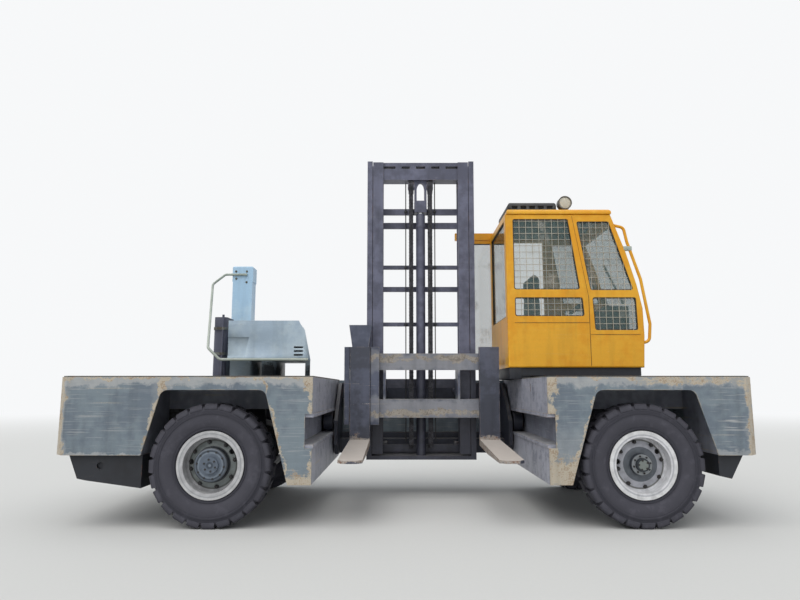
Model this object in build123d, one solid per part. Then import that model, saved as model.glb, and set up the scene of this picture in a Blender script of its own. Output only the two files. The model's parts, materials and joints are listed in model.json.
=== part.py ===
from build123d import *
import math
import os

# Side loader forklift. X runs along the truck with the cab at plus X, the load is taken in
# from minus Y, and Z is up. The origin is on the ground below the middle of the deck.

# Whole truck
LENGTH = 6030.0
WIDTH = 2400.0
DECK_TOP = 1285.0
DECK_PLATE = 10.0
DECK_INSET = 8.0
CORNER_CHAMFER = 80.0
SKIRT_THICK = 16.0
SKIRT_BOTTOM = 613.0
LEG_BOTTOM = 367.0
SEAT = 0.3
PIN_GAP = 0.5

HALF_WIDTH = WIDTH / 2
END_REAR = -LENGTH / 2
END_FRONT = LENGTH / 2
FRAME_CEILING = DECK_TOP - DECK_PLATE
SIDE_INNER_Y = HALF_WIDTH - SKIRT_THICK

# Tyres and rims
REAR_AXLE_X = -1680.0
FRONT_AXLE_X = 2030.0
TYRE_R = 525.0
TYRE_WIDTH = 280.0
TYRE_INSET = 20.0
TREAD_DEPTH = 22.0
LUG_COUNT = 30
LUG_SHARE = 0.62
LUG_LONG = 96.0
BEAD_R = 255.0
BEAD_INSET = 40.0
RIM_WELL_R = 235.0
RIM_FLANGE_R = 290.0
RIM_FLANGE_THICK = 12.0
HAND_HOLE_R = 24.0
HAND_HOLE_AT = 192.0
HAND_HOLE_ANGLES = (34.0, 174.0)
WHEEL_Y = HALF_WIDTH - TYRE_INSET - TYRE_WIDTH / 2

# Axles and steering knuckles
AXLE_TUBE_R = 85.0
DIFFERENTIAL_R = 205.0
HUB_BACK = 20.0
HANGER_HALF = 110.0
STEER_BEAM = 140.0
STEER_BEAM_END = 100.0
STEER_HANGER_HALF = 90.0
KINGPIN_INSET = 180.0
KINGPIN_R = 22.0
KNUCKLE_WIDE = 90.0
KNUCKLE_HIGH = 210.0
YOKE_GAP = 5.0
YOKE_THICK = 40.0
YOKE_LONG = 100.0
SPINDLE_R = 35.0
SPINDLE_END = 80.0
KINGPIN_Y = WHEEL_Y - KINGPIN_INSET

# Well between the two deck ends, where the reach carriage runs
WELL_REAR_X = -808.0
WELL_FRONT_X = 1216.0
WALL_THICK = 20.0
RAIL_BOTTOM = 700.0
RAIL_TOP = 930.0
RAIL_FLANGE = 30.0
RAIL_DEPTH = 130.0
RAIL_LIP = 10.0
NOTCH_DEEP = 62.0
SLOT_Y = -500.0
SLOT_WIDE = 20.0
SLOT_BOTTOM = 1146.0
SLOT_TOP = 1220.0

# Frame under the decks
LEG_DEEP = 174.0
LEG_WALL = 12.0
BEAM_HALF = 540.0
BEAM_WIDE = 40.0
BEAM_BOTTOM = 980.0
BEAM_GAP = 10.0
REAR_OVERHANG_WALL = 595.0
FRONT_OVERHANG_WALL = 642.0
BACK_BEAM_DEEP = 140.0
BACK_BEAM_BOTTOM = 450.0
BACK_BEAM_WALL = 16.0
BACK_BEAM_Y = HALF_WIDTH - BACK_BEAM_DEEP

# Wheel arches
ARCH_BAND = 112.0
ARCH_ROUND = 70.0
# Columns: how far the bottom outer, top outer, top inner and bottom inner corner of the arch
# stand past the tyre's radius
REAR_ARCH = (58.0, -90.0, -64.0, 146.0)
FRONT_ARCH = (100.0, -68.0, -138.0, 100.0)

# Under the overhangs
TANK_LONG = 630.0
TANK_INSET = 50.0
TANK_WIDE = 550.0
TANK_HOLE_R = 30.0
TANK_HOLE_DEEP = 20.0
STEP_LONG = 214.0
# Columns: distance along the tank from its end, and depth below the side plate
TANK_FLOOR = ((0.0, 0.0), (80.0, 198.0), (152.0, 213.0), (TANK_LONG, 278.0), (TANK_LONG, 0.0))
# Columns: distance along the step from its back, and depth below the end plate
STEP_FLOOR = ((0.0, 0.0), (0.0, 176.0), (105.0, 200.0), (STEP_LONG, 0.0))

# Mast, drawn upright and then leaned about its foot pins
MAST_X = WELL_REAR_X + 988.0
MAST_LEAN = 3.0
MAST_HALF = 605.0
MAST_DEPTH = 210.0
MAST_BOTTOM = 420.0
MAST_TOP = 3770.0
OUTER_RAIL_WIDE = 58.0
OUTER_WEB = 20.0
MAST_FLANGE = 26.0
MAST_GAP = 6.0
FOOT_BEAM = 40.0
INNER_RAIL_WIDE = 116.0
INNER_WEB = 21.0
OUTER_ROLLER_WIDE = 36.0
OUTER_ROLLER_RISES = (150.0, 900.0)
INNER_FOOT_GAP = 60.0
INNER_DROP = 10.0
ROLLER_GAP = 0.5
CROSSBAR_THICK = 30.0
CROSSHEAD_SETBACK = 20.0
CROSSHEAD_PLATE = 42.0
CROSSHEAD_SLOT = 28.0
CROSSHEAD_DEEP = 130.0
CROSSHEAD_BLOCK = 70.0
CROSSHEAD_BLOCKS = (-252.0, -88.0, 88.0, 252.0)
HEAD_BAR_DROP = 438.0
HEAD_BAR_DEEP = 136.0
HEAD_BAR_HALF = 70.0
YOKE_THICK_HALF = 20.0
YOKE_HOLE_HALF = 43.0
YOKE_HOLE_HIGH = 211.0
YOKE_ARCH_HIGH = 86.0
PIVOT_TO_BEAM = 370.0
PIVOT_RISE = 100.0
MAST_TO_PIN = 110.0
PIVOT_PIN_R = 30.0
PIVOT_EYE_R = 58.0
PIVOT_EYE_WIDE = 40.0
PIVOT_LUG_WIDE = 30.0
TILT_OFFSET = 440.0
TILT_RISE = 630.0
TILT_SETBACK = 75.0
TILT_PIN_R = 18.0
TILT_EYE_HOLE_R = 24.0
TILT_EYE_R = 40.0
TILT_EYE_WIDE = 40.0
TILT_EAR_LOW = 40.0
TILT_EAR_HIGH = 140.0
TILT_EAR_WIDE = 20.0
TILT_EAR_GAP = 6.0
TILT_ROD_R = 22.0
TILT_BARREL_R = 45.0
TILT_BARREL_LONG = 192.0
TILT_BARREL_FLOOR = 15.0
ROD_IN_BARREL = 70.0

PIVOT_Y = BACK_BEAM_Y - PIVOT_TO_BEAM
PIVOT_Z = MAST_BOTTOM + PIVOT_RISE
MAST_REAR = PIVOT_Y - MAST_TO_PIN
MAST_FRONT = MAST_REAR - MAST_DEPTH
INNER_REAR = MAST_REAR - MAST_GAP
INNER_OUT = MAST_HALF - OUTER_RAIL_WIDE - MAST_GAP
INNER_BOTTOM = MAST_BOTTOM + INNER_FOOT_GAP
INNER_TOP = MAST_TOP - INNER_DROP
OUTER_MID_Y = (MAST_FRONT + MAST_REAR) / 2
OUTER_ROLLER_R = (MAST_REAR - MAST_FRONT) / 2 - MAST_FLANGE - ROLLER_GAP
INNER_MID_Y = (MAST_FRONT + INNER_REAR) / 2
INNER_ROLLER_R = (INNER_REAR - MAST_FRONT) / 2 - MAST_FLANGE - ROLLER_GAP
CROSSHEAD_TOP = INNER_TOP - CROSSHEAD_PLATE - CROSSHEAD_SLOT
CROSSHEAD_BOTTOM = CROSSHEAD_TOP - CROSSHEAD_DEEP
HEAD_BAR_TOP = INNER_TOP - HEAD_BAR_DROP
HEAD_BAR_BOTTOM = HEAD_BAR_TOP - HEAD_BAR_DEEP
# Columns: bottom and top of each bar across the outer mast
OUTER_BARS = ((MAST_BOTTOM, MAST_BOTTOM + 100.0), (1190.0, 1290.0), (2291.0, 2349.0), (3031.0, 3102.0))
# Columns: bottom and top of each bar across the inner mast
INNER_BARS = ((INNER_BOTTOM, INNER_BOTTOM + 80.0), (1889.0, 1935.0), (2547.0, 2594.0),
              (HEAD_BAR_BOTTOM, HEAD_BAR_BOTTOM + 72.0))

# Lift cylinder and chains
CYL_SETBACK = 85.0
CYL_R = 52.0
CYL_BORE_R = 40.0
CYL_FLOOR = 60.0
ROD_R = 37.5
ROD_FOOT_GAP = 30.0
CYL_TOP_DROP = 126.0
CHAIN_X = 108.0
CHAIN_WIDE = 46.0
CHAIN_THICK = 14.0
CHAIN_FRONT_RISE = 180.0
CHAIN_REAR_RISE = 140.0
SHEAVE_R = 68.0
SHEAVE_DROP = 80.0
SHEAVE_FORWARD = 7.0
SHEAVE_HANGER = 40.0
CYL_Y = MAST_FRONT + CYL_SETBACK
CYL_TOP = HEAD_BAR_BOTTOM - CYL_TOP_DROP
SHEAVE_Y = CYL_Y - SHEAVE_FORWARD
SHEAVE_Z = CROSSHEAD_BOTTOM - SHEAVE_DROP

# Fork carriage and forks
BAR_TO_MAST = 65.0
BAR_DEPTH = 90.0
BAR_LEFT = WELL_REAR_X + 153.0
BAR_RIGHT = WELL_FRONT_X - 204.0
UPPER_BAR = (1400.0, 1580.0)
LOWER_BAR = (890.0, 1085.0)
CARRIER_PLATE = 25.0
CARRIER_GAP = 8.0
CARRIER_SETBACK = 60.0
CARRIER_ROLLER_WIDE = 84.0
CARRIER_ROLLER_INSET = 90.0
CHEEK_DEEP = 50.0
CHEEK_BOTTOM = 820.0
CHEEK_GAP = 6.0
CHEEK_INNER_WIDE = 92.0
TRAY_HIGH = 240.0
TRAY_BOTTOM_HALF = 90.0
TRAY_TOP_HALF = 125.0
TRAY_DEEP = 100.0
TRAY_SHEET = 8.0
FORK_WIDE = 214.0
FORK_LEFT_INSET = 170.0
FORK_THICK = 65.0
FORK_HEEL_Z = 665.0
FORK_TOP = 1650.0
FORK_LENGTH = 1400.0
FORK_TAPER = 630.0
FORK_TIP_THICK = 26.0
FORK_TIP_CHAMFER = 50.0
BAR_REAR = MAST_FRONT - BAR_TO_MAST
BAR_FRONT = BAR_REAR - BAR_DEPTH
FORK_LEFT_X = BAR_LEFT + FORK_LEFT_INSET
FORK_RIGHT_X = BAR_RIGHT - FORK_WIDE / 2

# Reach carriage
REACH_GAP = 18.0
REACH_PLATE = 40.0
REACH_FORWARD = 260.0
REACH_LOW = 440.0
REACH_SIDE_LOW = 560.0
REACH_SHOULDER = 820.0
REACH_TOP = 1240.0
REACH_SLOPE = 160.0
REACH_BEAM = 80.0
REACH_UPPER_BEAM = 1060.0
REACH_FOOT_BEAM = 140.0
REACH_FOOT_GAP = 75.0
REACH_ROLLER_WIDE = 100.0
REACH_ROLLER_INSET = 120.0
REACH_ROLLER_SPARE = 5.0
REACH_STUB_R = 40.0
REACH_LEFT = WELL_REAR_X + REACH_GAP
REACH_RIGHT = WELL_FRONT_X - REACH_GAP
REACH_FRONT = PIVOT_Y - REACH_FORWARD
REACH_REAR = BACK_BEAM_Y - REACH_GAP

# Cab
CAB_OVER_WELL = 136.0
CAB_FAR_INSET = 150.0
CAB_WIDE = 1150.0
CAB_WALL = 40.0
CAB_RISE = 108.0
CAB_HIGH = 1650.0
CAB_FLOOR = 45.0
CAB_EDGE_ROUND = 16.0
ROOF_THICK = 55.0
ROOF_ROUND = 40.0
ROOF_EAVE = 12.0
ROOF_REAR_INSET = 12.0
ROOF_LONG = 1130.0
WINDOW_ROUND = 22.0
GLASS = 6.0
FRONT_POST = 55.0
FRONT_SILL = 397.0
FRONT_HEAD = 113.0
REAR_POST = 100.0
REAR_SILL = 540.0
WINDOW_HEAD = 56.0
FRONT_WINDOW_HEAD = 83.0
SEAM_WIDE = 6.0
SEAM_DEEP = 3.0
PLINTH_INSET = 30.0
PLINTH_RISE = 25.0
MOUNT_PAD = 100.0
CAB_REAR_X = WELL_FRONT_X - CAB_OVER_WELL
CAB_FAR_Y = HALF_WIDTH - CAB_FAR_INSET
CAB_NEAR_Y = CAB_FAR_Y - CAB_WIDE
CAB_MID_Y = (CAB_NEAR_Y + CAB_FAR_Y) / 2
CAB_BOTTOM = DECK_TOP + CAB_RISE
CAB_TOP = CAB_BOTTOM + CAB_HIGH
# Columns of the cab's outlines: X from its rear face, Z from its floor level
CAB_FRONT = ((1420.0, 0.0), (1439.0, 339.0), (1434.0, 625.0), (1384.0, 877.0), (1285.0, 1230.0),
             (1135.0, CAB_HIGH))
UPPER_REAR = ((78.0, 825.0), (779.0, 825.0), (674.0, CAB_HIGH - WINDOW_HEAD), (78.0, CAB_HIGH - WINDOW_HEAD))
LOWER_REAR = ((82.0, 540.0), (815.0, 540.0), (801.0, 740.0), (82.0, 740.0))
UPPER_FRONT = ((888.0, 818.0), (1345.0, 818.0), (1112.0, CAB_HIGH - FRONT_WINDOW_HEAD),
               (764.0, CAB_HIGH - FRONT_WINDOW_HEAD))
LOWER_FRONT = ((921.0, 392.0), (1373.0, 392.0), (1366.0, 740.0), (904.0, 740.0))
NEAR_WINDOWS = (UPPER_REAR, LOWER_REAR, UPPER_FRONT, LOWER_FRONT)
FAR_WINDOWS = (UPPER_FRONT, LOWER_FRONT)
DOORWAY = ((45.0, 67.0), (655.0, 67.0), (655.0, CAB_HIGH - 53.0), (45.0, CAB_HIGH - 53.0))
# Columns of the pressed seams: X and Z of one end, X and Z of the other
SEAMS = ((82.0, 470.0, 865.0, 470.0), (865.0, 20.0, 865.0, 760.0), (925.0, 345.0, 1385.0, 345.0))

# Sliding door
DOOR_OPEN = 400.0
DOOR_GAP = 8.0
DOOR_THICK = 34.0
DOOR_LAP = 15.0
DOOR_FRAME = 45.0
DOOR_FOOT = 57.0
DOOR_HEAD = 10.0
DOOR_BACK_STROKE = 60.0
DOOR_RAIL_DEEP = 60.0
DOOR_RAIL_HIGH = 87.0
DOOR_SILL_HIGH = 20.0

# Wire guards over the near windows
GUARD_WIRE = 5.0
GUARD_PITCH_X = 70.0
GUARD_PITCH_Z = 68.0
GUARD_SETBACK = 6.0

# Inside the cab and on its roof
SEAT_X = 420.0
SEAT_LONG = 480.0
SEAT_WIDE = 490.0
SEAT_RISE = 407.0
CUSHION_HIGH = 120.0
BACKREST_THICK = 120.0
BACKREST_HIGH = 560.0
PEDESTAL_INSET = 40.0
CONSOLE_X = 1100.0
CONSOLE_LONG = 240.0
CONSOLE_WIDE = 830.0
CONSOLE_HIGH = 667.0
WHEEL_X = 980.0
WHEEL_Z = 757.0
STEERING_R = 190.0
STEERING_GRIP_R = 15.0
COLUMN_R = 28.0
GRAB_R = 16.0
GRAB_INSET = 20.0
GRAB_BEND = 55.0
# Columns: X from the cab's rear face and Z from its floor level, along the grab rail
GRAB_LINE = ((1135.0, 1536.0), (1276.0, 1503.0), (1305.0, 1350.0), (1432.0, 938.0), (1506.0, 457.0),
             (1490.0, 277.0), (1410.0, 257.0))
VENT_X = 123.0
VENT_LONG = 532.0
VENT_WIDE = 320.0
VENT_HIGH = 60.0
VENT_ROUND = 26.0
VENT_SLOTS = 5
LAMP_X = 735.0
LAMP_Y = 370.0
LAMP_R = 75.0
LAMP_LONG = 110.0
LAMP_RISE = 92.0
LAMP_BEZEL = 12.0

# Engine end
HOOD_FAR_INSET = 450.0
HOOD_WIDE = 850.0
HOOD_LEFT = -1860.0
HOOD_LONG = 870.0
HOOD_RISE = 185.0
HOOD_HIGH = 375.0
HOOD_LID_HIGH = 40.0
HOOD_SHEET = 6.0
HOOD_KNEE = (65.0, 60.0)
HOOD_SHOULDER = 110.0
HOOD_RECESS = (220.0, 40.0, 240.0)
HOOD_RECESS_DEEP = 12.0
LOUVRE_WIDE = 94.0
LOUVRE_HIGH = 18.0
LOUVRE_RIGHT = 81.0
LOUVRE_RISES = (45.0, 85.0, 125.0)
# Columns: left and right edge of each foot, from the hood's left end
HOOD_FEET = ((14.0, 222.0), (347.0, 462.0), (816.0, 868.0))
HOOD_FOOT_INSET = 60.0
LID_SHEET = 4.0
STACK_X = -2070.0
STACK_LONG = 235.0
STACK_DEEP = 180.0
STACK_FAR_INSET = 250.0
STACK_TOP = 2640.0
STACK_HEAD = 190.0
STACK_HEAD_LAP = 6.0
SILENCER_X = -2136.0
SILENCER_LONG = 146.0
SILENCER_FAR_INSET = 130.0
SILENCER_DEEP = 320.0
SILENCER_TOP = 1968.0
SILENCER_ROUND = 40.0
PIPE_R = 13.0
RAIL_LOOP_R = 14.0
RAIL_BEND = 45.0
RAIL_LOW_INSET = 30.0
# Columns: X from the stack's left side and height over the hood's bottom, down the tube loop's lower half
RAIL_LOWER = ((-264.0, 238.0), (-237.0, 155.0), (-90.0, 22.0))
RAIL_REACH = 185.0
RAIL_TOP_DROP = 80.0
RAIL_TOP_RUN = 100.0
# Columns: X from the stack's left side and drop below its top, at the loop's upper bend
RAIL_UPPER = (-235.0, 238.0)
ENGINE_END_GAP = 155.0
ENGINE_AXLE_GAP = 280.0
ENGINE_HALF = 420.0
ENGINE_BOTTOM = 560.0
ENGINE_HIGH = 680.0
MOUNT_FOOT = 100.0
MOUNT_FOOT_HIGH = 60.0
MOUNT_FOOT_BOTTOM = 1000.0
HOOD_FAR = HALF_WIDTH - HOOD_FAR_INSET
HOOD_NEAR = HOOD_FAR - HOOD_WIDE
HOOD_RIGHT = HOOD_LEFT + HOOD_LONG
HOOD_BOTTOM = DECK_TOP + HOOD_RISE
HOOD_EDGE = HOOD_BOTTOM + HOOD_HIGH
HOOD_TOP = HOOD_EDGE + HOOD_LID_HIGH
STACK_FAR = HALF_WIDTH - STACK_FAR_INSET
STACK_NEAR = STACK_FAR - STACK_DEEP
SILENCER_FAR = HOOD_FAR - SILENCER_FAR_INSET
SILENCER_NEAR = SILENCER_FAR - SILENCER_DEEP


def across(points, y0, y1, corner=0.0):
    """Prism of an outline in X and Z, from y0 to y1, its corners rounded by the given radius."""
    face = make_face(Polyline(*[(x, y0, z) for x, z in points], close=True))
    if corner:
        face = fillet(face.vertices(), corner)
    return extrude(face, amount=y1 - y0, dir=(0, 1, 0))


def along(points, x0, x1):
    """Prism of an outline in Y and Z, from x0 to x1."""
    outline = Polyline(*[(x0, y, z) for y, z in points], close=True)
    return extrude(make_face(outline), amount=x1 - x0, dir=(1, 0, 0))


def upright(points, z0, z1):
    """Prism of an outline in X and Y, from z0 to z1."""
    outline = Polyline(*[(x, y, z0) for x, y in points], close=True)
    return extrude(make_face(outline), amount=z1 - z0, dir=(0, 0, 1))


def block(x0, x1, y0, y1, z0, z1):
    """Rectangular block between two corners, given in either order."""
    middle = Pos((x0 + x1) / 2, (y0 + y1) / 2, (z0 + z1) / 2)
    return middle * Box(abs(x1 - x0), abs(y1 - y0), abs(z1 - z0))


def bar(start, end, radius):
    """Round bar between two points."""
    run = Vector(*end) - Vector(*start)
    solid = Cylinder(radius, run.length, align=(Align.CENTER, Align.CENTER, Align.MIN))
    return Plane(origin=start, z_dir=run) * solid


def disc(x, y, z, radius, wide):
    """Round piece with its axle along X."""
    return Pos(x, y, z) * Rot(0, 90, 0) * Cylinder(radius, wide)


def tube(points, radius, bend):
    """Round tube along straight runs joined by bends."""
    path = FilletPolyline(*points, radius=bend)
    section = Plane(origin=path @ 0, z_dir=path % 0) * Circle(radius)
    return sweep(section, path=path)


def lean(shape):
    """Turn a mast piece about the foot pins, forward over the load."""
    return Pos(0, PIVOT_Y, PIVOT_Z) * Rot(MAST_LEAN, 0, 0) * Pos(0, -PIVOT_Y, -PIVOT_Z) * shape


def mirror_y(shape):
    """The same piece on the far side."""
    return mirror(shape, about=Plane.XZ)


# Frame of the two deck ends

class End:
    """Sizes of one deck end, with its side as minus one at the engine and plus one at the cab."""

    def __init__(self, side, end_x, well_x, axle_x, overhang, arch):
        self.side = side
        self.end_x = end_x
        self.well_x = well_x
        self.axle_x = axle_x
        self.over_x = axle_x + side * overhang
        low_out, top_out, top_in, low_in = [TYRE_R + past for past in arch]
        self.low_out = axle_x + side * low_out
        self.top_out = axle_x + side * top_out
        self.top_in = axle_x - side * top_in
        self.low_in = axle_x - side * low_in


ENGINE_END = End(-1, END_REAR, WELL_REAR_X, REAR_AXLE_X, REAR_OVERHANG_WALL, REAR_ARCH)
CAB_END = End(1, END_FRONT, WELL_FRONT_X, FRONT_AXLE_X, FRONT_OVERHANG_WALL, FRONT_ARCH)


def side_plate(end):
    """Side plate of one deck end, with its wheel arch and a notch round the rail's mouth."""
    corner_x = end.end_x - end.side * CORNER_CHAMFER
    notch_x = end.well_x + end.side * NOTCH_DEEP
    notch_low = RAIL_BOTTOM - RAIL_FLANGE
    notch_high = RAIL_TOP + RAIL_FLANGE
    outline = [(corner_x, FRAME_CEILING), (corner_x, SKIRT_BOTTOM), (end.low_out, SKIRT_BOTTOM),
               (end.low_in, LEG_BOTTOM), (end.well_x, LEG_BOTTOM), (end.well_x, notch_low), (notch_x, notch_low),
               (notch_x, notch_high), (end.well_x, notch_high), (end.well_x, FRAME_CEILING)]
    arch_top = FRAME_CEILING - ARCH_BAND
    slope = (end.low_out - end.top_out) / (arch_top - SKIRT_BOTTOM)
    cut = [(end.low_out + slope * (SKIRT_BOTTOM - LEG_BOTTOM), LEG_BOTTOM), (end.top_out, arch_top),
           (end.top_in, arch_top), (end.low_in, LEG_BOTTOM)]
    plate = across(outline, -HALF_WIDTH, -HALF_WIDTH + SKIRT_THICK)
    opening = across(cut, -HALF_WIDTH - 1, -HALF_WIDTH + SKIRT_THICK + 1)
    corners = opening.edges().filter_by(Axis.Y).sort_by(Axis.Z)[-2:]
    return plate - fillet(corners, ARCH_ROUND)


def end_plate(end):
    """Bent plate across the truck's end, with its two cut-off corners."""
    x = end.end_x
    c = end.side * CORNER_CHAMFER
    t = end.side * SKIRT_THICK
    k = SKIRT_THICK * math.tan(math.radians(22.5))
    turn = HALF_WIDTH - CORNER_CHAMFER
    points = [(x - c, -HALF_WIDTH), (x, -turn), (x, turn), (x - c, HALF_WIDTH), (x - c, SIDE_INNER_Y),
              (x - t, turn - k), (x - t, -turn + k), (x - c, -SIDE_INNER_Y)]
    return upright(points, SKIRT_BOTTOM, FRAME_CEILING)


def skirts(end):
    """Both side plates of one deck end, joined by the bent plate across the end."""
    near = side_plate(end)
    return near + end_plate(end) + mirror_y(near)


def deck(end):
    """Thin deck plate, a little inside the side plates."""
    half = HALF_WIDTH - DECK_INSET
    x = end.end_x - end.side * DECK_INSET
    turn = half - CORNER_CHAMFER
    points = [(x - end.side * CORNER_CHAMFER, -half), (x, -turn), (x, turn), (x - end.side * CORNER_CHAMFER, half),
              (end.well_x, half), (end.well_x, -half)]
    return upright(points, FRAME_CEILING, DECK_TOP)


def well_wall(end):
    """Wall beside the well, with the lipped channel that the reach carriage's rollers run in."""
    face = end.well_x
    back = face + end.side * WALL_THICK
    web = face + end.side * RAIL_DEPTH
    deep = web + end.side * WALL_THICK
    low = RAIL_BOTTOM - RAIL_FLANGE
    high = RAIL_TOP + RAIL_FLANGE
    profile = [(face, LEG_BOTTOM), (face, RAIL_BOTTOM), (web, RAIL_BOTTOM), (web, RAIL_TOP), (face, RAIL_TOP),
               (face, FRAME_CEILING), (back, FRAME_CEILING), (back, high), (deep, high), (deep, low), (back, low),
               (back, LEG_BOTTOM)]
    wall = across(profile, -SIDE_INNER_Y, SIDE_INNER_Y)
    for z0, z1 in ((low, RAIL_BOTTOM), (RAIL_TOP, high)):
        wall += block(face - end.side * RAIL_LIP, face, -SIDE_INNER_Y, BACK_BEAM_Y - PIN_GAP, z0, z1)
    return wall - block(face - 1, face + end.side * (WALL_THICK + 1), SLOT_Y - SLOT_WIDE / 2,
                        SLOT_Y + SLOT_WIDE / 2, SLOT_BOTTOM, SLOT_TOP)


def end_frame(end):
    """Well wall, leg walls, overhang walls, and the two long beams that carry the deck."""
    side = end.side
    back_x = end.well_x + side * WALL_THICK
    leg_x = end.well_x + side * LEG_DEEP
    frame = well_wall(end)
    for hand in (-1, 1):
        out_y = hand * SIDE_INNER_Y
        in_y = hand * (BEAM_HALF + BEAM_GAP)
        beam_y = hand * (BEAM_HALF - BEAM_WIDE)
        frame += block(leg_x, leg_x + side * LEG_WALL, out_y, in_y, LEG_BOTTOM, FRAME_CEILING)
        frame += block(back_x, leg_x, out_y, in_y, LEG_BOTTOM, LEG_BOTTOM + LEG_WALL)
        frame += block(back_x, end.end_x - side * SKIRT_THICK, hand * BEAM_HALF, beam_y, BEAM_BOTTOM, FRAME_CEILING)
        frame += block(end.over_x, end.over_x + side * LEG_WALL, out_y, hand * BEAM_HALF, SKIRT_BOTTOM, FRAME_CEILING)
    return frame


def back_beam():
    """Box beam along the far side that ties the two deck ends together."""
    wall = BACK_BEAM_WALL
    outer = block(WELL_REAR_X, WELL_FRONT_X, BACK_BEAM_Y, HALF_WIDTH, BACK_BEAM_BOTTOM, FRAME_CEILING)
    inner = block(WELL_REAR_X - 1, WELL_FRONT_X + 1, BACK_BEAM_Y + wall, HALF_WIDTH - wall, BACK_BEAM_BOTTOM + wall,
                  FRAME_CEILING - wall)
    return outer - inner


# Axles, knuckles and wheels

def rear_axle():
    """Driven axle: housing, differential and the two hangers below the long beams."""
    housing = Pos(REAR_AXLE_X, 0, TYRE_R) * Rot(90, 0, 0) * Cylinder(AXLE_TUBE_R, 2 * (WHEEL_Y - HUB_BACK - SEAT))
    housing += Pos(REAR_AXLE_X, 0, TYRE_R) * Sphere(DIFFERENTIAL_R)
    for hand in (-1, 1):
        housing += block(REAR_AXLE_X - HANGER_HALF, REAR_AXLE_X + HANGER_HALF, hand * BEAM_HALF,
                         hand * (BEAM_HALF - 1.5 * BEAM_WIDE), TYRE_R, BEAM_BOTTOM)
    return housing


def front_axle():
    """Steered axle: beam with a yoke at each end, and its two hangers."""
    x = FRONT_AXLE_X
    half = STEER_BEAM / 2
    reach = KINGPIN_Y - STEER_BEAM_END
    axle = block(x - half, x + half, -reach, reach, TYRE_R - half, TYRE_R + half)
    grip = KNUCKLE_HIGH / 2 + YOKE_GAP
    for hand in (-1, 1):
        axle += block(x - STEER_HANGER_HALF, x + STEER_HANGER_HALF, hand * BEAM_HALF,
                      hand * (BEAM_HALF - 1.5 * BEAM_WIDE), TYRE_R, BEAM_BOTTOM)
        root = hand * (reach - YOKE_THICK)
        axle += block(x - YOKE_LONG / 2, x + YOKE_LONG / 2, root, hand * reach, TYRE_R - grip - YOKE_THICK,
                      TYRE_R + grip + YOKE_THICK)
        for near, far in ((-grip - YOKE_THICK, -grip), (grip, grip + YOKE_THICK)):
            axle += block(x - YOKE_LONG / 2, x + YOKE_LONG / 2, root, hand * (KINGPIN_Y + KNUCKLE_WIDE / 2),
                          TYRE_R + near, TYRE_R + far)
        y = hand * KINGPIN_Y
        reach_z = grip + YOKE_THICK + 1
        axle -= bar((x, y, TYRE_R - reach_z), (x, y, TYRE_R + reach_z), KINGPIN_R + PIN_GAP)
    return axle


def knuckle(hand):
    """Steering knuckle with its kingpin and the spindle that carries the wheel."""
    x = FRONT_AXLE_X
    y = hand * KINGPIN_Y
    half = KNUCKLE_WIDE / 2
    body = block(x - half, x + half, y - half, y + half, TYRE_R - KNUCKLE_HIGH / 2, TYRE_R + KNUCKLE_HIGH / 2)
    reach = KNUCKLE_HIGH / 2 + YOKE_GAP + YOKE_THICK + 15
    pin = bar((x, y, TYRE_R - reach), (x, y, TYRE_R + reach), KINGPIN_R)
    spindle = bar((x, y, TYRE_R), (x, hand * (WHEEL_Y + SPINDLE_END), TYRE_R), SPINDLE_R)
    return body + pin + spindle


TYRE_HALF = TYRE_WIDTH / 2
TREAD_R = TYRE_R - TREAD_DEPTH
BEAD_HALF = TYRE_HALF - BEAD_INSET
# Columns: radius, and place along the axle with the outside positive
TYRE_SIDE = ((TREAD_R, TYRE_HALF - 34), (TREAD_R - 26, TYRE_HALF - 7), (TYRE_R - 105, TYRE_HALF),
             (BEAD_R + 80, TYRE_HALF - 10), (BEAD_R + 45, BEAD_HALF), (BEAD_R + SEAT, BEAD_HALF))
LUG_SECTION = ((TREAD_R - 12, TYRE_HALF - 22 - LUG_LONG), (TYRE_R, TYRE_HALF - 22 - LUG_LONG),
               (TYRE_R, TYRE_HALF - 22), (TYRE_R - 48, TYRE_HALF - 2), (TREAD_R - 40, TYRE_HALF - 30))
REAR_HUB = ((0, -HUB_BACK), (RIM_WELL_R, -HUB_BACK), (RIM_WELL_R, 5), (150, 30), (145, 30), (145, 96), (130, 104),
            (70, 104), (70, 124), (0, 124))
FRONT_HUB = ((SPINDLE_R + 1, -40), (110, -40), (110, -10), (RIM_WELL_R, -10), (RIM_WELL_R, 10), (190, 14),
             (130, 34), (92, 34), (92, 74), (55, 74), (55, 108), (0, 108), (0, SPINDLE_END + 2),
             (SPINDLE_R + 1, SPINDLE_END + 2))


def spin(profile, turn=360.0):
    """Profile turned about the wheel's axle, which is Z here, by the given angle."""
    outline = Polyline(*[(r, 0, z) for r, z in profile], close=True)
    return revolve(make_face(outline), axis=Axis.Z, revolution_arc=turn)


def tyre():
    """Tyre with a ring of shoulder lugs at each side, the rings half a pitch apart."""
    side = list(TYRE_SIDE)
    body = spin([(r, -z) for r, z in reversed(side)] + side)
    pitch = 360.0 / LUG_COUNT
    outer = spin(LUG_SECTION, pitch * LUG_SHARE)
    inner = spin([(r, -z) for r, z in LUG_SECTION], pitch * LUG_SHARE)
    start = -pitch * LUG_SHARE / 2
    lugs = []
    for i in range(LUG_COUNT):
        lugs.append(Rot(0, 0, start + i * pitch) * outer)
        lugs.append(Rot(0, 0, start + (i + 0.5) * pitch) * inner)
    return body.fuse(*lugs)


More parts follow.
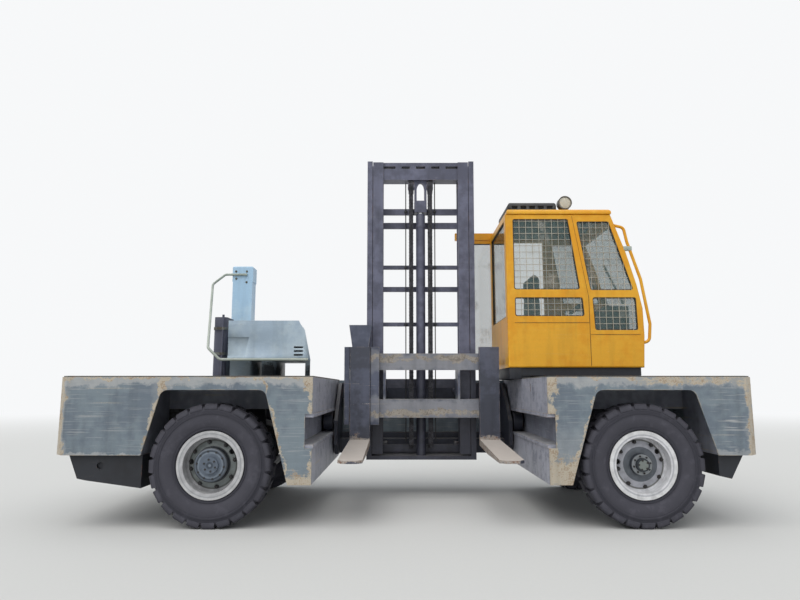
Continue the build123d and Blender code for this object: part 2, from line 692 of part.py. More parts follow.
def rim(hub):
    """Rim with a flange at each side, joined to its disc and hub, with hand holes in the disc."""
    out = BEAD_HALF + RIM_FLANGE_THICK + 2
    seat = BEAD_HALF + SEAT
    half = [(RIM_WELL_R, out), (RIM_FLANGE_R, out), (RIM_FLANGE_R, out - RIM_FLANGE_THICK), (BEAD_R, seat)]
    profile = [(r, -z) for r, z in half] + list(reversed(half))
    wheel = spin(profile) + spin(hub)
    for angle in HAND_HOLE_ANGLES:
        wheel -= Rot(0, 0, angle) * Pos(HAND_HOLE_AT, 0, 0) * Cylinder(HAND_HOLE_R, RIM_WELL_R)
    return wheel


def place_wheel(shape, axle_x, hand):
    """Stand a wheel's piece on its axle, outside face away from the truck."""
    return Pos(axle_x, hand * WHEEL_Y, TYRE_R) * Rot(-90 * hand, 0, 0) * shape


# Mast

def mast_rails(outer, wide, web, rear, bottom, top):
    """Two channels standing up with their mouths towards the middle of the mast."""
    y0 = MAST_FRONT
    mouth = outer - wide
    points = [(outer, y0), (outer, rear), (mouth, rear), (mouth, rear - MAST_FLANGE),
              (outer - web, rear - MAST_FLANGE), (outer - web, y0 + MAST_FLANGE), (mouth, y0 + MAST_FLANGE),
              (mouth, y0)]
    right = upright([(MAST_X + x, y) for x, y in points], bottom, top)
    left = upright([(MAST_X - x, y) for x, y in points], bottom, top)
    return [left, right]


def outer_mast():
    """Outer mast: two channels, bars behind them, foot beam, pin lugs and tilt lugs."""
    left, right = mast_rails(MAST_HALF, OUTER_RAIL_WIDE, OUTER_WEB, MAST_REAR, MAST_BOTTOM, MAST_TOP)
    solid = left + right
    x0 = MAST_X - MAST_HALF
    x1 = MAST_X + MAST_HALF
    for low, high in OUTER_BARS:
        solid += block(x0, x1, MAST_REAR, MAST_REAR + CROSSBAR_THICK, low, high)
    solid += block(x0 + OUTER_WEB, x1 - OUTER_WEB, MAST_FRONT, MAST_REAR, MAST_BOTTOM, MAST_BOTTOM + FOOT_BEAM)
    tilt_y = MAST_REAR + TILT_SETBACK
    tilt_z = PIVOT_Z + TILT_RISE
    for hand in (-1, 1):
        x = MAST_X + hand * TILT_OFFSET
        half = PIVOT_EYE_WIDE / 2
        foot = block(x - half, x + half, MAST_REAR, PIVOT_Y, PIVOT_Z - PIVOT_EYE_R, PIVOT_Z + PIVOT_EYE_R)
        foot += disc(x, PIVOT_Y, PIVOT_Z, PIVOT_EYE_R, PIVOT_EYE_WIDE)
        solid += foot - disc(x, PIVOT_Y, PIVOT_Z, PIVOT_PIN_R + PIN_GAP, PIVOT_EYE_WIDE + 2)
        inner = TILT_EYE_WIDE / 2 + TILT_EAR_GAP
        for ear in (-1, 1):
            solid += block(x + ear * inner, x + ear * (inner + TILT_EAR_WIDE), MAST_REAR, tilt_y + TILT_PIN_R + 7,
                           tilt_z - TILT_EAR_LOW, tilt_z + TILT_EAR_HIGH)
        outer = inner + TILT_EAR_WIDE
        solid += bar((x - outer, tilt_y, tilt_z), (x + outer, tilt_y, tilt_z), TILT_PIN_R)
    return solid


def inner_mast():
    """Inner mast: two channels, bars between them, top crosshead and guide rollers."""
    left, right = mast_rails(INNER_OUT, INNER_RAIL_WIDE, INNER_WEB, INNER_REAR, INNER_BOTTOM, INNER_TOP)
    solid = left + right
    x0 = MAST_X - INNER_OUT + INNER_WEB
    x1 = MAST_X + INNER_OUT - INNER_WEB
    for low, high in INNER_BARS:
        solid += block(x0, x1, INNER_REAR - MAST_FLANGE, INNER_REAR, low, high)
    front = MAST_FRONT + CROSSHEAD_SETBACK
    solid += block(x0, x1, front, INNER_REAR, INNER_TOP - CROSSHEAD_PLATE, INNER_TOP)
    solid += block(x0, x1, front, INNER_REAR, CROSSHEAD_BOTTOM, CROSSHEAD_TOP)
    for x in CROSSHEAD_BLOCKS:
        centre = MAST_X + x
        solid += block(centre - CROSSHEAD_BLOCK / 2, centre + CROSSHEAD_BLOCK / 2, front, INNER_REAR, CROSSHEAD_TOP,
                       INNER_TOP - CROSSHEAD_PLATE)
    solid += block(MAST_X - HEAD_BAR_HALF, MAST_X + HEAD_BAR_HALF, CYL_Y - 50, INNER_REAR, HEAD_BAR_BOTTOM,
                   HEAD_BAR_TOP)
    solid += yoke()
    for hand in (-1, 1):
        for rise in OUTER_ROLLER_RISES:
            x = MAST_X + hand * (INNER_OUT + OUTER_ROLLER_WIDE / 2)
            solid += disc(x, OUTER_MID_Y, INNER_BOTTOM + rise, OUTER_ROLLER_R, OUTER_ROLLER_WIDE)
    return solid


def yoke():
    """Plate from the head block up to the crosshead, with an arched window over the rod."""
    y0 = CYL_Y - YOKE_THICK_HALF
    y1 = CYL_Y + YOKE_THICK_HALF
    plate = block(MAST_X - HEAD_BAR_HALF, MAST_X + HEAD_BAR_HALF, y0, y1, HEAD_BAR_TOP, CROSSHEAD_BOTTOM)
    shoulder = HEAD_BAR_TOP + YOKE_HOLE_HIGH - YOKE_ARCH_HIGH
    plate -= block(MAST_X - YOKE_HOLE_HALF, MAST_X + YOKE_HOLE_HALF, y0 - 1, y1 + 1, HEAD_BAR_TOP, shoulder)
    arch = Plane(origin=(MAST_X, y0 - 1, shoulder), x_dir=(1, 0, 0), z_dir=(0, 1, 0))
    return plate - extrude(arch * Ellipse(YOKE_HOLE_HALF, YOKE_ARCH_HIGH), amount=2 * YOKE_THICK_HALF + 2)


def lift_cylinder():
    """Barrel of the lift cylinder, standing on the outer mast's foot beam."""
    base = MAST_BOTTOM + FOOT_BEAM
    barrel = bar((MAST_X, CYL_Y, base), (MAST_X, CYL_Y, CYL_TOP), CYL_R)
    bore = bar((MAST_X, CYL_Y, base + CYL_FLOOR), (MAST_X, CYL_Y, CYL_TOP + 1), CYL_BORE_R)
    return barrel - bore


def lift_rod():
    """Rod of the lift cylinder, up to the inner mast's head block."""
    foot = MAST_BOTTOM + FOOT_BEAM + CYL_FLOOR + ROD_FOOT_GAP
    return bar((MAST_X, CYL_Y, foot), (MAST_X, CYL_Y, HEAD_BAR_BOTTOM), ROD_R)


def lift_chains():
    """Two chains over their sheaves, on the inner mast."""
    chains = []
    half = CHAIN_WIDE / 2
    thick = CHAIN_THICK / 2
    hang = SHEAVE_HANGER / 2
    for hand in (-1, 1):
        x = MAST_X + hand * CHAIN_X
        chain = disc(x, SHEAVE_Y, SHEAVE_Z, SHEAVE_R + thick, CHAIN_WIDE)
        chain += block(x - hang, x + hang, SHEAVE_Y - hang, SHEAVE_Y + hang, SHEAVE_Z, CROSSHEAD_BOTTOM)
        for y, rise in ((SHEAVE_Y - SHEAVE_R, CHAIN_FRONT_RISE), (SHEAVE_Y + SHEAVE_R, CHAIN_REAR_RISE)):
            chain += block(x - half, x + half, y - thick, y + thick, MAST_BOTTOM + rise, SHEAVE_Z)
        chains.append(chain)
    return chains


# Fork carriage and forks

def fork_carriage():
    """Two bars, roller plates in the mast, and the cheeks with their tray beside the left fork."""
    solid = block(BAR_LEFT, BAR_RIGHT, BAR_FRONT, BAR_REAR, *UPPER_BAR)
    solid += block(BAR_LEFT, BAR_RIGHT, BAR_FRONT, BAR_REAR, *LOWER_BAR)
    plate_out = INNER_OUT - INNER_RAIL_WIDE - CARRIER_GAP
    for hand in (-1, 1):
        near = MAST_X + hand * plate_out
        far = MAST_X + hand * (plate_out - CARRIER_PLATE)
        solid += block(near, far, BAR_REAR, INNER_MID_Y + CARRIER_SETBACK, LOWER_BAR[0], UPPER_BAR[1])
        solid += block(near, far, BAR_FRONT, BAR_REAR, LOWER_BAR[1], UPPER_BAR[0])
        for z in (LOWER_BAR[0] + CARRIER_ROLLER_INSET, UPPER_BAR[1] - CARRIER_ROLLER_INSET):
            x = MAST_X + hand * (plate_out + CARRIER_ROLLER_WIDE / 2)
            solid += disc(x, INNER_MID_Y, z, INNER_ROLLER_R, CARRIER_ROLLER_WIDE)
    front = BAR_FRONT - CHEEK_DEEP
    edge = FORK_WIDE / 2 + CHEEK_GAP
    inner_x = FORK_LEFT_X + edge + CHEEK_INNER_WIDE
    solid += block(BAR_LEFT, FORK_LEFT_X - edge, front, BAR_FRONT, CHEEK_BOTTOM, FORK_TOP)
    solid += block(FORK_LEFT_X + edge, inner_x, front, BAR_FRONT, CHEEK_BOTTOM, FORK_TOP)
    solid += block(BAR_LEFT, inner_x, BAR_FRONT, BAR_FRONT + TRAY_SHEET, UPPER_BAR[1], FORK_TOP)
    return solid + tray(front)


def tray(front):
    """Open tray that widens upwards, on top of the cheeks."""
    s = TRAY_SHEET
    top = FORK_TOP + TRAY_HIGH
    outer = [(FORK_LEFT_X - TRAY_BOTTOM_HALF, FORK_TOP), (FORK_LEFT_X + TRAY_BOTTOM_HALF, FORK_TOP),
             (FORK_LEFT_X + TRAY_TOP_HALF, top), (FORK_LEFT_X - TRAY_TOP_HALF, top)]
    inner = [(FORK_LEFT_X - TRAY_BOTTOM_HALF + s, FORK_TOP + s), (FORK_LEFT_X + TRAY_BOTTOM_HALF - s, FORK_TOP + s),
             (FORK_LEFT_X + TRAY_TOP_HALF - s, top + 1), (FORK_LEFT_X - TRAY_TOP_HALF + s, top + 1)]
    y0 = front + CHEEK_DEEP
    return across(outer, y0, y0 + TRAY_DEEP) - across(inner, y0 + s, y0 + TRAY_DEEP - s)


def fork(x):
    """Fork with its shank on the bars and its blade tapering to the tip."""
    y = BAR_FRONT - SEAT
    z = FORK_HEEL_Z
    tip = y - FORK_LENGTH
    points = [(y, z - FORK_THICK), (y, FORK_TOP), (y - FORK_THICK, FORK_TOP), (y - FORK_THICK, z), (tip, z),
              (tip, z - FORK_TIP_THICK), (y - FORK_TAPER, z - FORK_THICK)]
    blade = along(points, x - FORK_WIDE / 2, x + FORK_WIDE / 2)
    tips = blade.edges().filter_by(Axis.Z).sort_by(Axis.Y)[:2]
    return chamfer(tips, FORK_TIP_CHAMFER)


# Reach carriage

LEAN_COS = math.cos(math.radians(MAST_LEAN))
LEAN_SIN = math.sin(math.radians(MAST_LEAN))
TILT_BACK = MAST_REAR + TILT_SETBACK - PIVOT_Y
TILT_LINE_Y = PIVOT_Y + TILT_BACK * LEAN_COS - TILT_RISE * LEAN_SIN
TILT_LINE_Z = PIVOT_Z + TILT_BACK * LEAN_SIN + TILT_RISE * LEAN_COS
BARREL_REAR = REACH_REAR - REACH_BEAM
BARREL_FRONT = BARREL_REAR - TILT_BARREL_LONG


def reach_carriage():
    """Frame that carries the mast along the well on four rollers, with the tilt cylinders' barrels."""
    front = REACH_FRONT
    rear = REACH_REAR
    step = REACH_SLOPE
    outline = [(front, REACH_SIDE_LOW), (front, REACH_SHOULDER), (front + step, REACH_SHOULDER + step),
               (rear - step, REACH_TOP), (rear, REACH_TOP), (rear, REACH_SIDE_LOW),
               (rear - (REACH_SIDE_LOW - REACH_LOW) / 2, REACH_LOW), (front + step, REACH_LOW)]
    solid = along(outline, REACH_LEFT, REACH_LEFT + REACH_PLATE)
    solid += along(outline, REACH_RIGHT - REACH_PLATE, REACH_RIGHT)
    foot = PIVOT_Y + REACH_FOOT_GAP
    solid += block(REACH_LEFT, REACH_RIGHT, foot, foot + REACH_FOOT_BEAM, REACH_LOW, REACH_LOW + step)
    solid += block(REACH_LEFT, REACH_RIGHT, BARREL_REAR, rear, REACH_UPPER_BEAM, REACH_TOP)
    solid += block(REACH_LEFT, REACH_RIGHT, BARREL_REAR, rear, REACH_SIDE_LOW, REACH_SIDE_LOW + 100)
    roller_r = (RAIL_TOP - RAIL_BOTTOM) / 2 - REACH_ROLLER_SPARE
    roller_z = RAIL_BOTTOM + ROLLER_GAP + roller_r
    reach_out = REACH_GAP + RAIL_DEPTH - REACH_ROLLER_WIDE / 2 - 28
    for plate_x, hand in ((REACH_LEFT, -1), (REACH_RIGHT, 1)):
        for y in (front + REACH_ROLLER_INSET, rear - REACH_ROLLER_INSET):
            centre = plate_x + hand * reach_out
            solid += disc(centre, y, roller_z, roller_r, REACH_ROLLER_WIDE)
            stub = block(plate_x, centre, y - REACH_STUB_R / 2, y + REACH_STUB_R / 2, roller_z - REACH_STUB_R / 2,
                         roller_z + REACH_STUB_R / 2)
            solid += stub
    for hand in (-1, 1):
        x = MAST_X + hand * TILT_OFFSET
        inner = PIVOT_EYE_WIDE / 2 + TILT_EAR_GAP
        outer = inner + PIVOT_LUG_WIDE
        for ear in (-1, 1):
            solid += block(x + ear * inner, x + ear * outer, PIVOT_Y, foot + 1, PIVOT_Z - PIVOT_EYE_R,
                           PIVOT_Z + PIVOT_EYE_R)
            solid += disc(x + ear * (inner + outer) / 2, PIVOT_Y, PIVOT_Z, PIVOT_EYE_R, PIVOT_LUG_WIDE)
        solid += bar((x - outer, PIVOT_Y, PIVOT_Z), (x + outer, PIVOT_Y, PIVOT_Z), PIVOT_PIN_R)
        barrel = bar((x, BARREL_REAR, TILT_LINE_Z), (x, BARREL_FRONT, TILT_LINE_Z), TILT_BARREL_R)
        solid += barrel - bar((x, BARREL_REAR - TILT_BARREL_FLOOR, TILT_LINE_Z), (x, BARREL_FRONT - 1, TILT_LINE_Z),
                              TILT_ROD_R + PIN_GAP)
    return solid


def tilt_rods():
    """Rods of the two tilt cylinders, each with its eye round the mast's pin."""
    rods = []
    for hand in (-1, 1):
        x = MAST_X + hand * TILT_OFFSET
        rod = bar((x, TILT_LINE_Y + 30, TILT_LINE_Z), (x, BARREL_FRONT + ROD_IN_BARREL, TILT_LINE_Z), TILT_ROD_R)
        rod += disc(x, TILT_LINE_Y, TILT_LINE_Z, TILT_EYE_R, TILT_EYE_WIDE)
        rods.append(rod - disc(x, TILT_LINE_Y, TILT_LINE_Z, TILT_EYE_HOLE_R, TILT_EYE_WIDE + 2))
    return rods


# Cab

def on_cab(points):
    """Points in X and Z, from the cab's own corner to the truck."""
    return [(CAB_REAR_X + x, CAB_BOTTOM + z) for x, z in points]


def cab_outline(grow=0.0):
    """Side outline of the cab, wider by the given amount at the front and the rear."""
    front = [(x + grow, z) for x, z in on_cab(CAB_FRONT)]
    return [(CAB_REAR_X - grow, CAB_BOTTOM)] + front + [(CAB_REAR_X - grow, CAB_TOP)]


def cab_side(y0, windows):
    """Side wall of the cab with its windows cut out."""
    wall = across(cab_outline(), y0, y0 + CAB_WALL)
    for window in windows:
        wall -= across(on_cab(window), y0 - 1, y0 + CAB_WALL + 1, WINDOW_ROUND)
    return wall


def cab_near_side():
    """Near side wall, its outer edge rounded and its panel seams pressed in."""
    wall = across(cab_outline(), CAB_NEAR_Y, CAB_NEAR_Y + CAB_WALL)
    rim_edges = wall.faces().sort_by(Axis.Y)[0].edges()
    wall = fillet(rim_edges, CAB_EDGE_ROUND)
    for window in NEAR_WINDOWS:
        wall -= across(on_cab(window), CAB_NEAR_Y - 1, CAB_NEAR_Y + CAB_WALL + 1, WINDOW_ROUND)
    half = SEAM_WIDE / 2
    for x0, z0, x1, z1 in SEAMS:
        (a, low), (b, high) = on_cab(((x0, z0), (x1, z1)))
        wall -= block(a - half, b + half, CAB_NEAR_Y - 1, CAB_NEAR_Y + SEAM_DEEP, low - half, high + half)
    return wall


def cab_rear():
    """Rear wall between the side walls, towards the mast."""
    y0 = CAB_NEAR_Y + CAB_WALL
    y1 = CAB_FAR_Y - CAB_WALL
    wall = block(CAB_REAR_X, CAB_REAR_X + CAB_WALL, y0, y1, CAB_BOTTOM, CAB_TOP)
    hole = block(CAB_REAR_X - 1, CAB_REAR_X + CAB_WALL + 1, CAB_NEAR_Y + REAR_POST, CAB_FAR_Y - REAR_POST,
                 CAB_BOTTOM + REAR_SILL, CAB_TOP - WINDOW_HEAD)
    return wall - fillet(hole.edges().filter_by(Axis.X), WINDOW_ROUND)


def front_strip(near, far):
    """Strip that follows the cab's front line between two depths behind it."""
    line = on_cab(CAB_FRONT)
    outer = [(x - near, z) for x, z in line]
    inner = [(x - far, z) for x, z in reversed(line)]
    return outer + inner


def front_opening(post):
    """Block that cuts the windscreen's opening, the given distance inside the side walls."""
    x0 = CAB_REAR_X + CAB_FRONT[-1][0] - 4 * CAB_WALL
    x1 = CAB_REAR_X + CAB_FRONT[1][0] + CAB_WALL
    return block(x0, x1, CAB_NEAR_Y + CAB_WALL + post, CAB_FAR_Y - CAB_WALL - post, CAB_BOTTOM + FRONT_SILL,
                 CAB_TOP - FRONT_HEAD)


def cab_front():
    """Windscreen frame between the side walls, following their front edge."""
    strip = across(front_strip(0, CAB_WALL), CAB_NEAR_Y + CAB_WALL, CAB_FAR_Y - CAB_WALL)
    return strip - front_opening(FRONT_POST)


def cab_floor():
    """Floor, the plinth and pads that carry it, and the seat's pedestal."""
    y0 = CAB_NEAR_Y + CAB_WALL
    y1 = CAB_FAR_Y - CAB_WALL
    front_x = CAB_REAR_X + CAB_FRONT[0][0]
    floor = block(CAB_REAR_X + CAB_WALL, front_x - CAB_WALL, y0, y1, CAB_BOTTOM, CAB_BOTTOM + CAB_FLOOR)
    x0 = CAB_REAR_X + PLINTH_INSET
    x1 = front_x - PLINTH_INSET
    low = DECK_TOP + PLINTH_RISE
    floor += block(x0 + CAB_WALL, x1, CAB_NEAR_Y + PLINTH_INSET, CAB_FAR_Y - PLINTH_INSET, low, CAB_BOTTOM)
    pad = MOUNT_PAD / 2
    for x in (CAB_REAR_X + CAB_OVER_WELL, x1 - MOUNT_PAD):
        for y in (CAB_NEAR_Y + MOUNT_PAD, CAB_FAR_Y - MOUNT_PAD):
            floor += block(x - pad + pad, x + MOUNT_PAD, y - pad, y + pad, DECK_TOP, low)
    seat_x = CAB_REAR_X + SEAT_X
    inset = PEDESTAL_INSET
    floor += block(seat_x + inset, seat_x + SEAT_LONG - inset, CAB_MID_Y - SEAT_WIDE / 2 + inset,
                   CAB_MID_Y + SEAT_WIDE / 2 - inset, CAB_BOTTOM + CAB_FLOOR, CAB_BOTTOM + SEAT_RISE - SEAT)
    return floor


def cab_roof():
    """Roof panel with rounded upper edges."""
    x0 = CAB_REAR_X + ROOF_REAR_INSET
    roof = block(x0, x0 + ROOF_LONG, CAB_NEAR_Y - ROOF_EAVE, CAB_FAR_Y, CAB_TOP, CAB_TOP + ROOF_THICK)
    edges = roof.faces().sort_by(Axis.Z)[-1].edges()
    return fillet(edges, ROOF_ROUND)


def cab_glass():
    """Fixed panes, each in the middle of its wall."""
    mid = (CAB_WALL - GLASS) / 2
    panes = []
    for windows, y in ((NEAR_WINDOWS, CAB_NEAR_Y + mid), (FAR_WINDOWS, CAB_FAR_Y - CAB_WALL + mid)):
        for window in windows:
            panes.append(across(on_cab(window), y, y + GLASS, WINDOW_ROUND))
    rear = block(CAB_REAR_X + mid, CAB_REAR_X + mid + GLASS, CAB_NEAR_Y + REAR_POST, CAB_FAR_Y - REAR_POST,
                 CAB_BOTTOM + REAR_SILL, CAB_TOP - WINDOW_HEAD)
    panes.append(fillet(rear.edges().filter_by(Axis.X), WINDOW_ROUND))
    screen = across(front_strip(mid, mid + GLASS), CAB_NEAR_Y, CAB_FAR_Y)
    panes.append(screen & front_opening(FRONT_POST))
    return panes


def window_guards():
    """Wire grid in each near window, outside its pane, without the loose scraps at its corners."""
    guards = []
    y0 = CAB_NEAR_Y + GUARD_SETBACK
    y1 = y0 + GUARD_WIRE
    half = GUARD_WIRE / 2
    for window in NEAR_WINDOWS:
        corners = on_cab(window)
        left = min(x for x, z in corners)
        right = max(x for x, z in corners)
        low = min(z for x, z in corners)
        high = max(z for x, z in corners)
        wires = []
        for i in range(1, math.ceil((right - left) / GUARD_PITCH_X)):
            x = left + i * GUARD_PITCH_X
            wires.append(block(x - half, x + half, y0, y1, low - 1, high + 1))
        for i in range(1, math.ceil((high - low) / GUARD_PITCH_Z)):
            z = low + i * GUARD_PITCH_Z
            wires.append(block(left - 1, right + 1, y0 + half, y1 + half, z - half, z + half))
        grid = wires[0].fuse(*wires[1:])
        opening = across(corners, y0 - 1, y1 + half + 1, WINDOW_ROUND)
        inside = grid & opening
        guards.append(inside.solids().sort_by(SortBy.VOLUME)[-1])
    return guards


DOOR_LEFT = CAB_REAR_X + DOORWAY[0][0] - DOOR_LAP - DOOR_OPEN
DOOR_RIGHT = CAB_REAR_X + DOORWAY[1][0] + DOOR_LAP - DOOR_OPEN
DOOR_LOW = CAB_BOTTOM + DOOR_FOOT
DOOR_HIGH = CAB_TOP - DOOR_HEAD - SEAT
DOOR_NEAR_Y = CAB_FAR_Y + DOOR_GAP


def door_opening(y0, y1):
    """Block that cuts the sliding door's window."""
    f = DOOR_FRAME
    return block(DOOR_LEFT + f, DOOR_RIGHT - f, y0, y1, DOOR_LOW + f, DOOR_HIGH - f)


def cab_door():
    """Sliding door on the far side, drawn back past the rear corner."""
    y1 = DOOR_NEAR_Y + DOOR_THICK
    return block(DOOR_LEFT, DOOR_RIGHT, DOOR_NEAR_Y, y1, DOOR_LOW, DOOR_HIGH) - door_opening(DOOR_NEAR_Y - 1, y1 + 1)


def door_glass():
    """Pane of the sliding door."""
    mid = DOOR_NEAR_Y + (DOOR_THICK - GLASS) / 2
    return door_opening(mid, mid + GLASS)


def door_rails():
    """Rails above and below the sliding door, on the cab's far wall."""
    right = CAB_REAR_X + DOORWAY[1][0] + 65
    top_low = CAB_TOP - DOOR_HEAD
    top = block(DOOR_LEFT - DOOR_BACK_STROKE - 10, right, CAB_FAR_Y, CAB_FAR_Y + DOOR_RAIL_DEEP, top_low,
                top_low + DOOR_RAIL_HIGH)
    bottom = block(CAB_REAR_X + 10, right, CAB_FAR_Y, CAB_FAR_Y + DOOR_RAIL_DEEP - 10,
                   DOOR_LOW - SEAT - DOOR_SILL_HIGH, DOOR_LOW - SEAT)
    return top + bottom


def cab_far_side():
    """Far side wall with the doorway and the sliding door's rails."""
    wall = cab_side(CAB_FAR_Y - CAB_WALL, FAR_WINDOWS)
    wall -= across(on_cab(DOORWAY), CAB_FAR_Y - CAB_WALL - 1, CAB_FAR_Y + 1)
    return wall + door_rails()


def driver_seat():
    """Cushion and backrest."""
    x = CAB_REAR_X + SEAT_X
    y0 = CAB_MID_Y - SEAT_WIDE / 2
    y1 = CAB_MID_Y + SEAT_WIDE / 2
    z = CAB_BOTTOM + SEAT_RISE
    cushion = block(x, x + SEAT_LONG, y0, y1, z, z + CUSHION_HIGH)
    low = z + CUSHION_HIGH + SEAT
    back = block(x - BACKREST_THICK + 20, x + 20, y0, y1, low, low + BACKREST_HIGH)
    return [cushion, back]


def cab_console():
    """Dashboard, steering column and steering wheel."""
    x0 = CAB_REAR_X + CONSOLE_X
    desk = block(x0, x0 + CONSOLE_LONG, CAB_MID_Y - CONSOLE_WIDE / 2, CAB_MID_Y + CONSOLE_WIDE / 2,
                 CAB_BOTTOM + CAB_FLOOR, CAB_BOTTOM + CONSOLE_HIGH)
    hub = (CAB_REAR_X + WHEEL_X, CAB_MID_Y, CAB_BOTTOM + WHEEL_Z)
    foot = (x0 + 10, CAB_MID_Y, CAB_BOTTOM + CONSOLE_HIGH - 80)
    column = bar(foot, hub, COLUMN_R)
    plane = Plane(origin=hub, z_dir=Vector(*hub) - Vector(*foot))
    wheel = plane * Torus(STEERING_R, STEERING_GRIP_R)
    spoke = plane * Box(2 * STEERING_R - STEERING_GRIP_R, 30, 12)
    return desk + column + wheel + spoke


def grab_rail():
    """Tube ahead of the windscreen's near corner, with its ends in the wall's front edge."""
    y = CAB_NEAR_Y + GRAB_INSET
    rail = tube([(x, y, z) for x, z in on_cab(GRAB_LINE)], GRAB_R, GRAB_BEND)
    return rail - across(cab_outline(SEAT), CAB_NEAR_Y, CAB_NEAR_Y + CAB_WALL)


def roof_vent():
    """Low vent on the roof with a row of slots along its near side."""
    x0 = CAB_REAR_X + VENT_X
    y0 = CAB_MID_Y - VENT_WIDE / 2
    low = CAB_TOP + ROOF_THICK
    vent = block(x0, x0 + VENT_LONG, y0, y0 + VENT_WIDE, low, low + VENT_HIGH)
    vent = fillet(vent.faces().sort_by(Axis.Z)[-1].edges() + vent.edges().filter_by(Axis.Z), VENT_ROUND)
    pitch = (VENT_LONG - 2 * VENT_ROUND) / VENT_SLOTS
    for i in range(VENT_SLOTS):
        x = x0 + VENT_ROUND + (i + 0.5) * pitch
        vent -= block(x - pitch * 0.32, x + pitch * 0.32, y0 - 1, y0 + 30, low + 14, low + 36)
    return vent


def work_lamp():
    """Round lamp on its bracket at the roof's front, facing the load."""
    x = CAB_REAR_X + LAMP_X
    y = CAB_NEAR_Y + LAMP_Y
    z = CAB_TOP + ROOF_THICK + LAMP_RISE
    near = y - LAMP_LONG
    body = bar((x, near, z), (x, y, z), LAMP_R)
    back = body.faces().sort_by(Axis.Y)[-1]
    body = chamfer(back.edges(), LAMP_R / 3)
    body -= bar((x, near - 1, z), (x, near + LAMP_BEZEL, z), LAMP_R - LAMP_BEZEL)
    middle = y - LAMP_LONG / 2
    return body + block(x - 20, x + 20, middle - 20, middle + 20, CAB_TOP + ROOF_THICK, z - LAMP_R / 2)


# Engine end

def engine():
    """Engine block between the long beams, with its mounting feet."""
    x0 = END_REAR + ENGINE_END_GAP
    x1 = REAR_AXLE_X - ENGINE_AXLE_GAP
    solid = block(x0, x1, -ENGINE_HALF, ENGINE_HALF, ENGINE_BOTTOM, ENGINE_BOTTOM + ENGINE_HIGH)
    beam_y = BEAM_HALF - BEAM_WIDE - SEAT
    for x in (x0 + MOUNT_FOOT, x1 - MOUNT_FOOT):
        for hand in (-1, 1):
            solid += block(x - MOUNT_FOOT / 2, x + MOUNT_FOOT / 2, hand * ENGINE_HALF, hand * beam_y,
                           MOUNT_FOOT_BOTTOM, MOUNT_FOOT_BOTTOM + MOUNT_FOOT_HIGH)
    return solid


def hood_outline(inset, top):
    """Side outline of the hood, drawn in by the sheet's thickness."""
    knee_in, knee_drop = HOOD_KNEE
    return [(HOOD_LEFT + inset, HOOD_BOTTOM + inset), (HOOD_RIGHT - inset, HOOD_BOTTOM + inset),
            (HOOD_RIGHT - knee_in - inset, HOOD_EDGE - knee_drop), (HOOD_RIGHT - HOOD_SHOULDER - inset, top),
            (HOOD_LEFT + inset, top)]


def hood():
    """Open box of sheet under its lid, with a recess and louvres at the near side, on three feet."""
    s = HOOD_SHEET
    shell = across(hood_outline(0, HOOD_EDGE), HOOD_NEAR, HOOD_FAR)
    shell -= across(hood_outline(s, HOOD_EDGE + 1), HOOD_NEAR + HOOD_RECESS_DEEP + s, HOOD_FAR - s)
    long, low, high = HOOD_RECESS
    recess = [(HOOD_LEFT - 1, HOOD_BOTTOM + low), (HOOD_LEFT + long - 40, HOOD_BOTTOM + low),
              (HOOD_LEFT + long, HOOD_BOTTOM + high), (HOOD_LEFT - 1, HOOD_BOTTOM + high)]
    shell -= across(recess, HOOD_NEAR - 1, HOOD_NEAR + HOOD_RECESS_DEEP)
    for rise in LOUVRE_RISES:
        z = HOOD_BOTTOM + rise
        shell -= block(HOOD_RIGHT - LOUVRE_RIGHT - LOUVRE_WIDE, HOOD_RIGHT - LOUVRE_RIGHT, HOOD_NEAR - 1,
                       HOOD_NEAR + HOOD_RECESS_DEEP + s + 1, z, z + LOUVRE_HIGH)
    for left, right in HOOD_FEET:
        shell += block(HOOD_LEFT + left, HOOD_LEFT + right, HOOD_NEAR + HOOD_FOOT_INSET, HOOD_FAR - HOOD_FOOT_INSET,
                       DECK_TOP, HOOD_BOTTOM)
    return shell


def hood_lid():
    """Shallow pressed lid, sloping at its right end like the hood."""
    low = HOOD_EDGE + SEAT
    right = HOOD_RIGHT - HOOD_SHOULDER
    slope = HOOD_LID_HIGH / 2
    s = HOOD_SHEET
    outline = [(HOOD_LEFT, low), (right, low), (right - slope, HOOD_TOP), (HOOD_LEFT, HOOD_TOP)]
    inner = [(HOOD_LEFT + s, low - 1), (right - s, low - 1), (right - slope - s, HOOD_TOP - LID_SHEET),
             (HOOD_LEFT + s, HOOD_TOP - LID_SHEET)]
    return across(outline, HOOD_NEAR, HOOD_FAR) - across(inner, HOOD_NEAR + s, HOOD_FAR - s)


def air_stack():
    """Tall square stack with a slightly larger head."""
    lap = STACK_HEAD_LAP
    right = STACK_X + STACK_LONG
    low = STACK_TOP - STACK_HEAD
    stack = block(STACK_X, right, STACK_NEAR, STACK_FAR, DECK_TOP, low)
    head = block(STACK_X - lap, right + lap, STACK_NEAR, STACK_FAR + lap, low, STACK_TOP)
    return stack + chamfer(head.faces().sort_by(Axis.Z)[-1].edges(), 2 * lap)


def silencer():
    """Upright silencer with rounded corners, and the pipe up its near side."""
    right = SILENCER_X + SILENCER_LONG
    near = SILENCER_NEAR
    body = block(SILENCER_X, right, near, SILENCER_FAR, DECK_TOP, SILENCER_TOP)
    body = fillet(body.edges().filter_by(Axis.Z), SILENCER_ROUND)
    x = right - SILENCER_ROUND
    body += bar((x, near - PIPE_R / 2, DECK_TOP), (x, near - PIPE_R / 2, SILENCER_TOP + 2 * PIPE_R), PIPE_R)
    return body


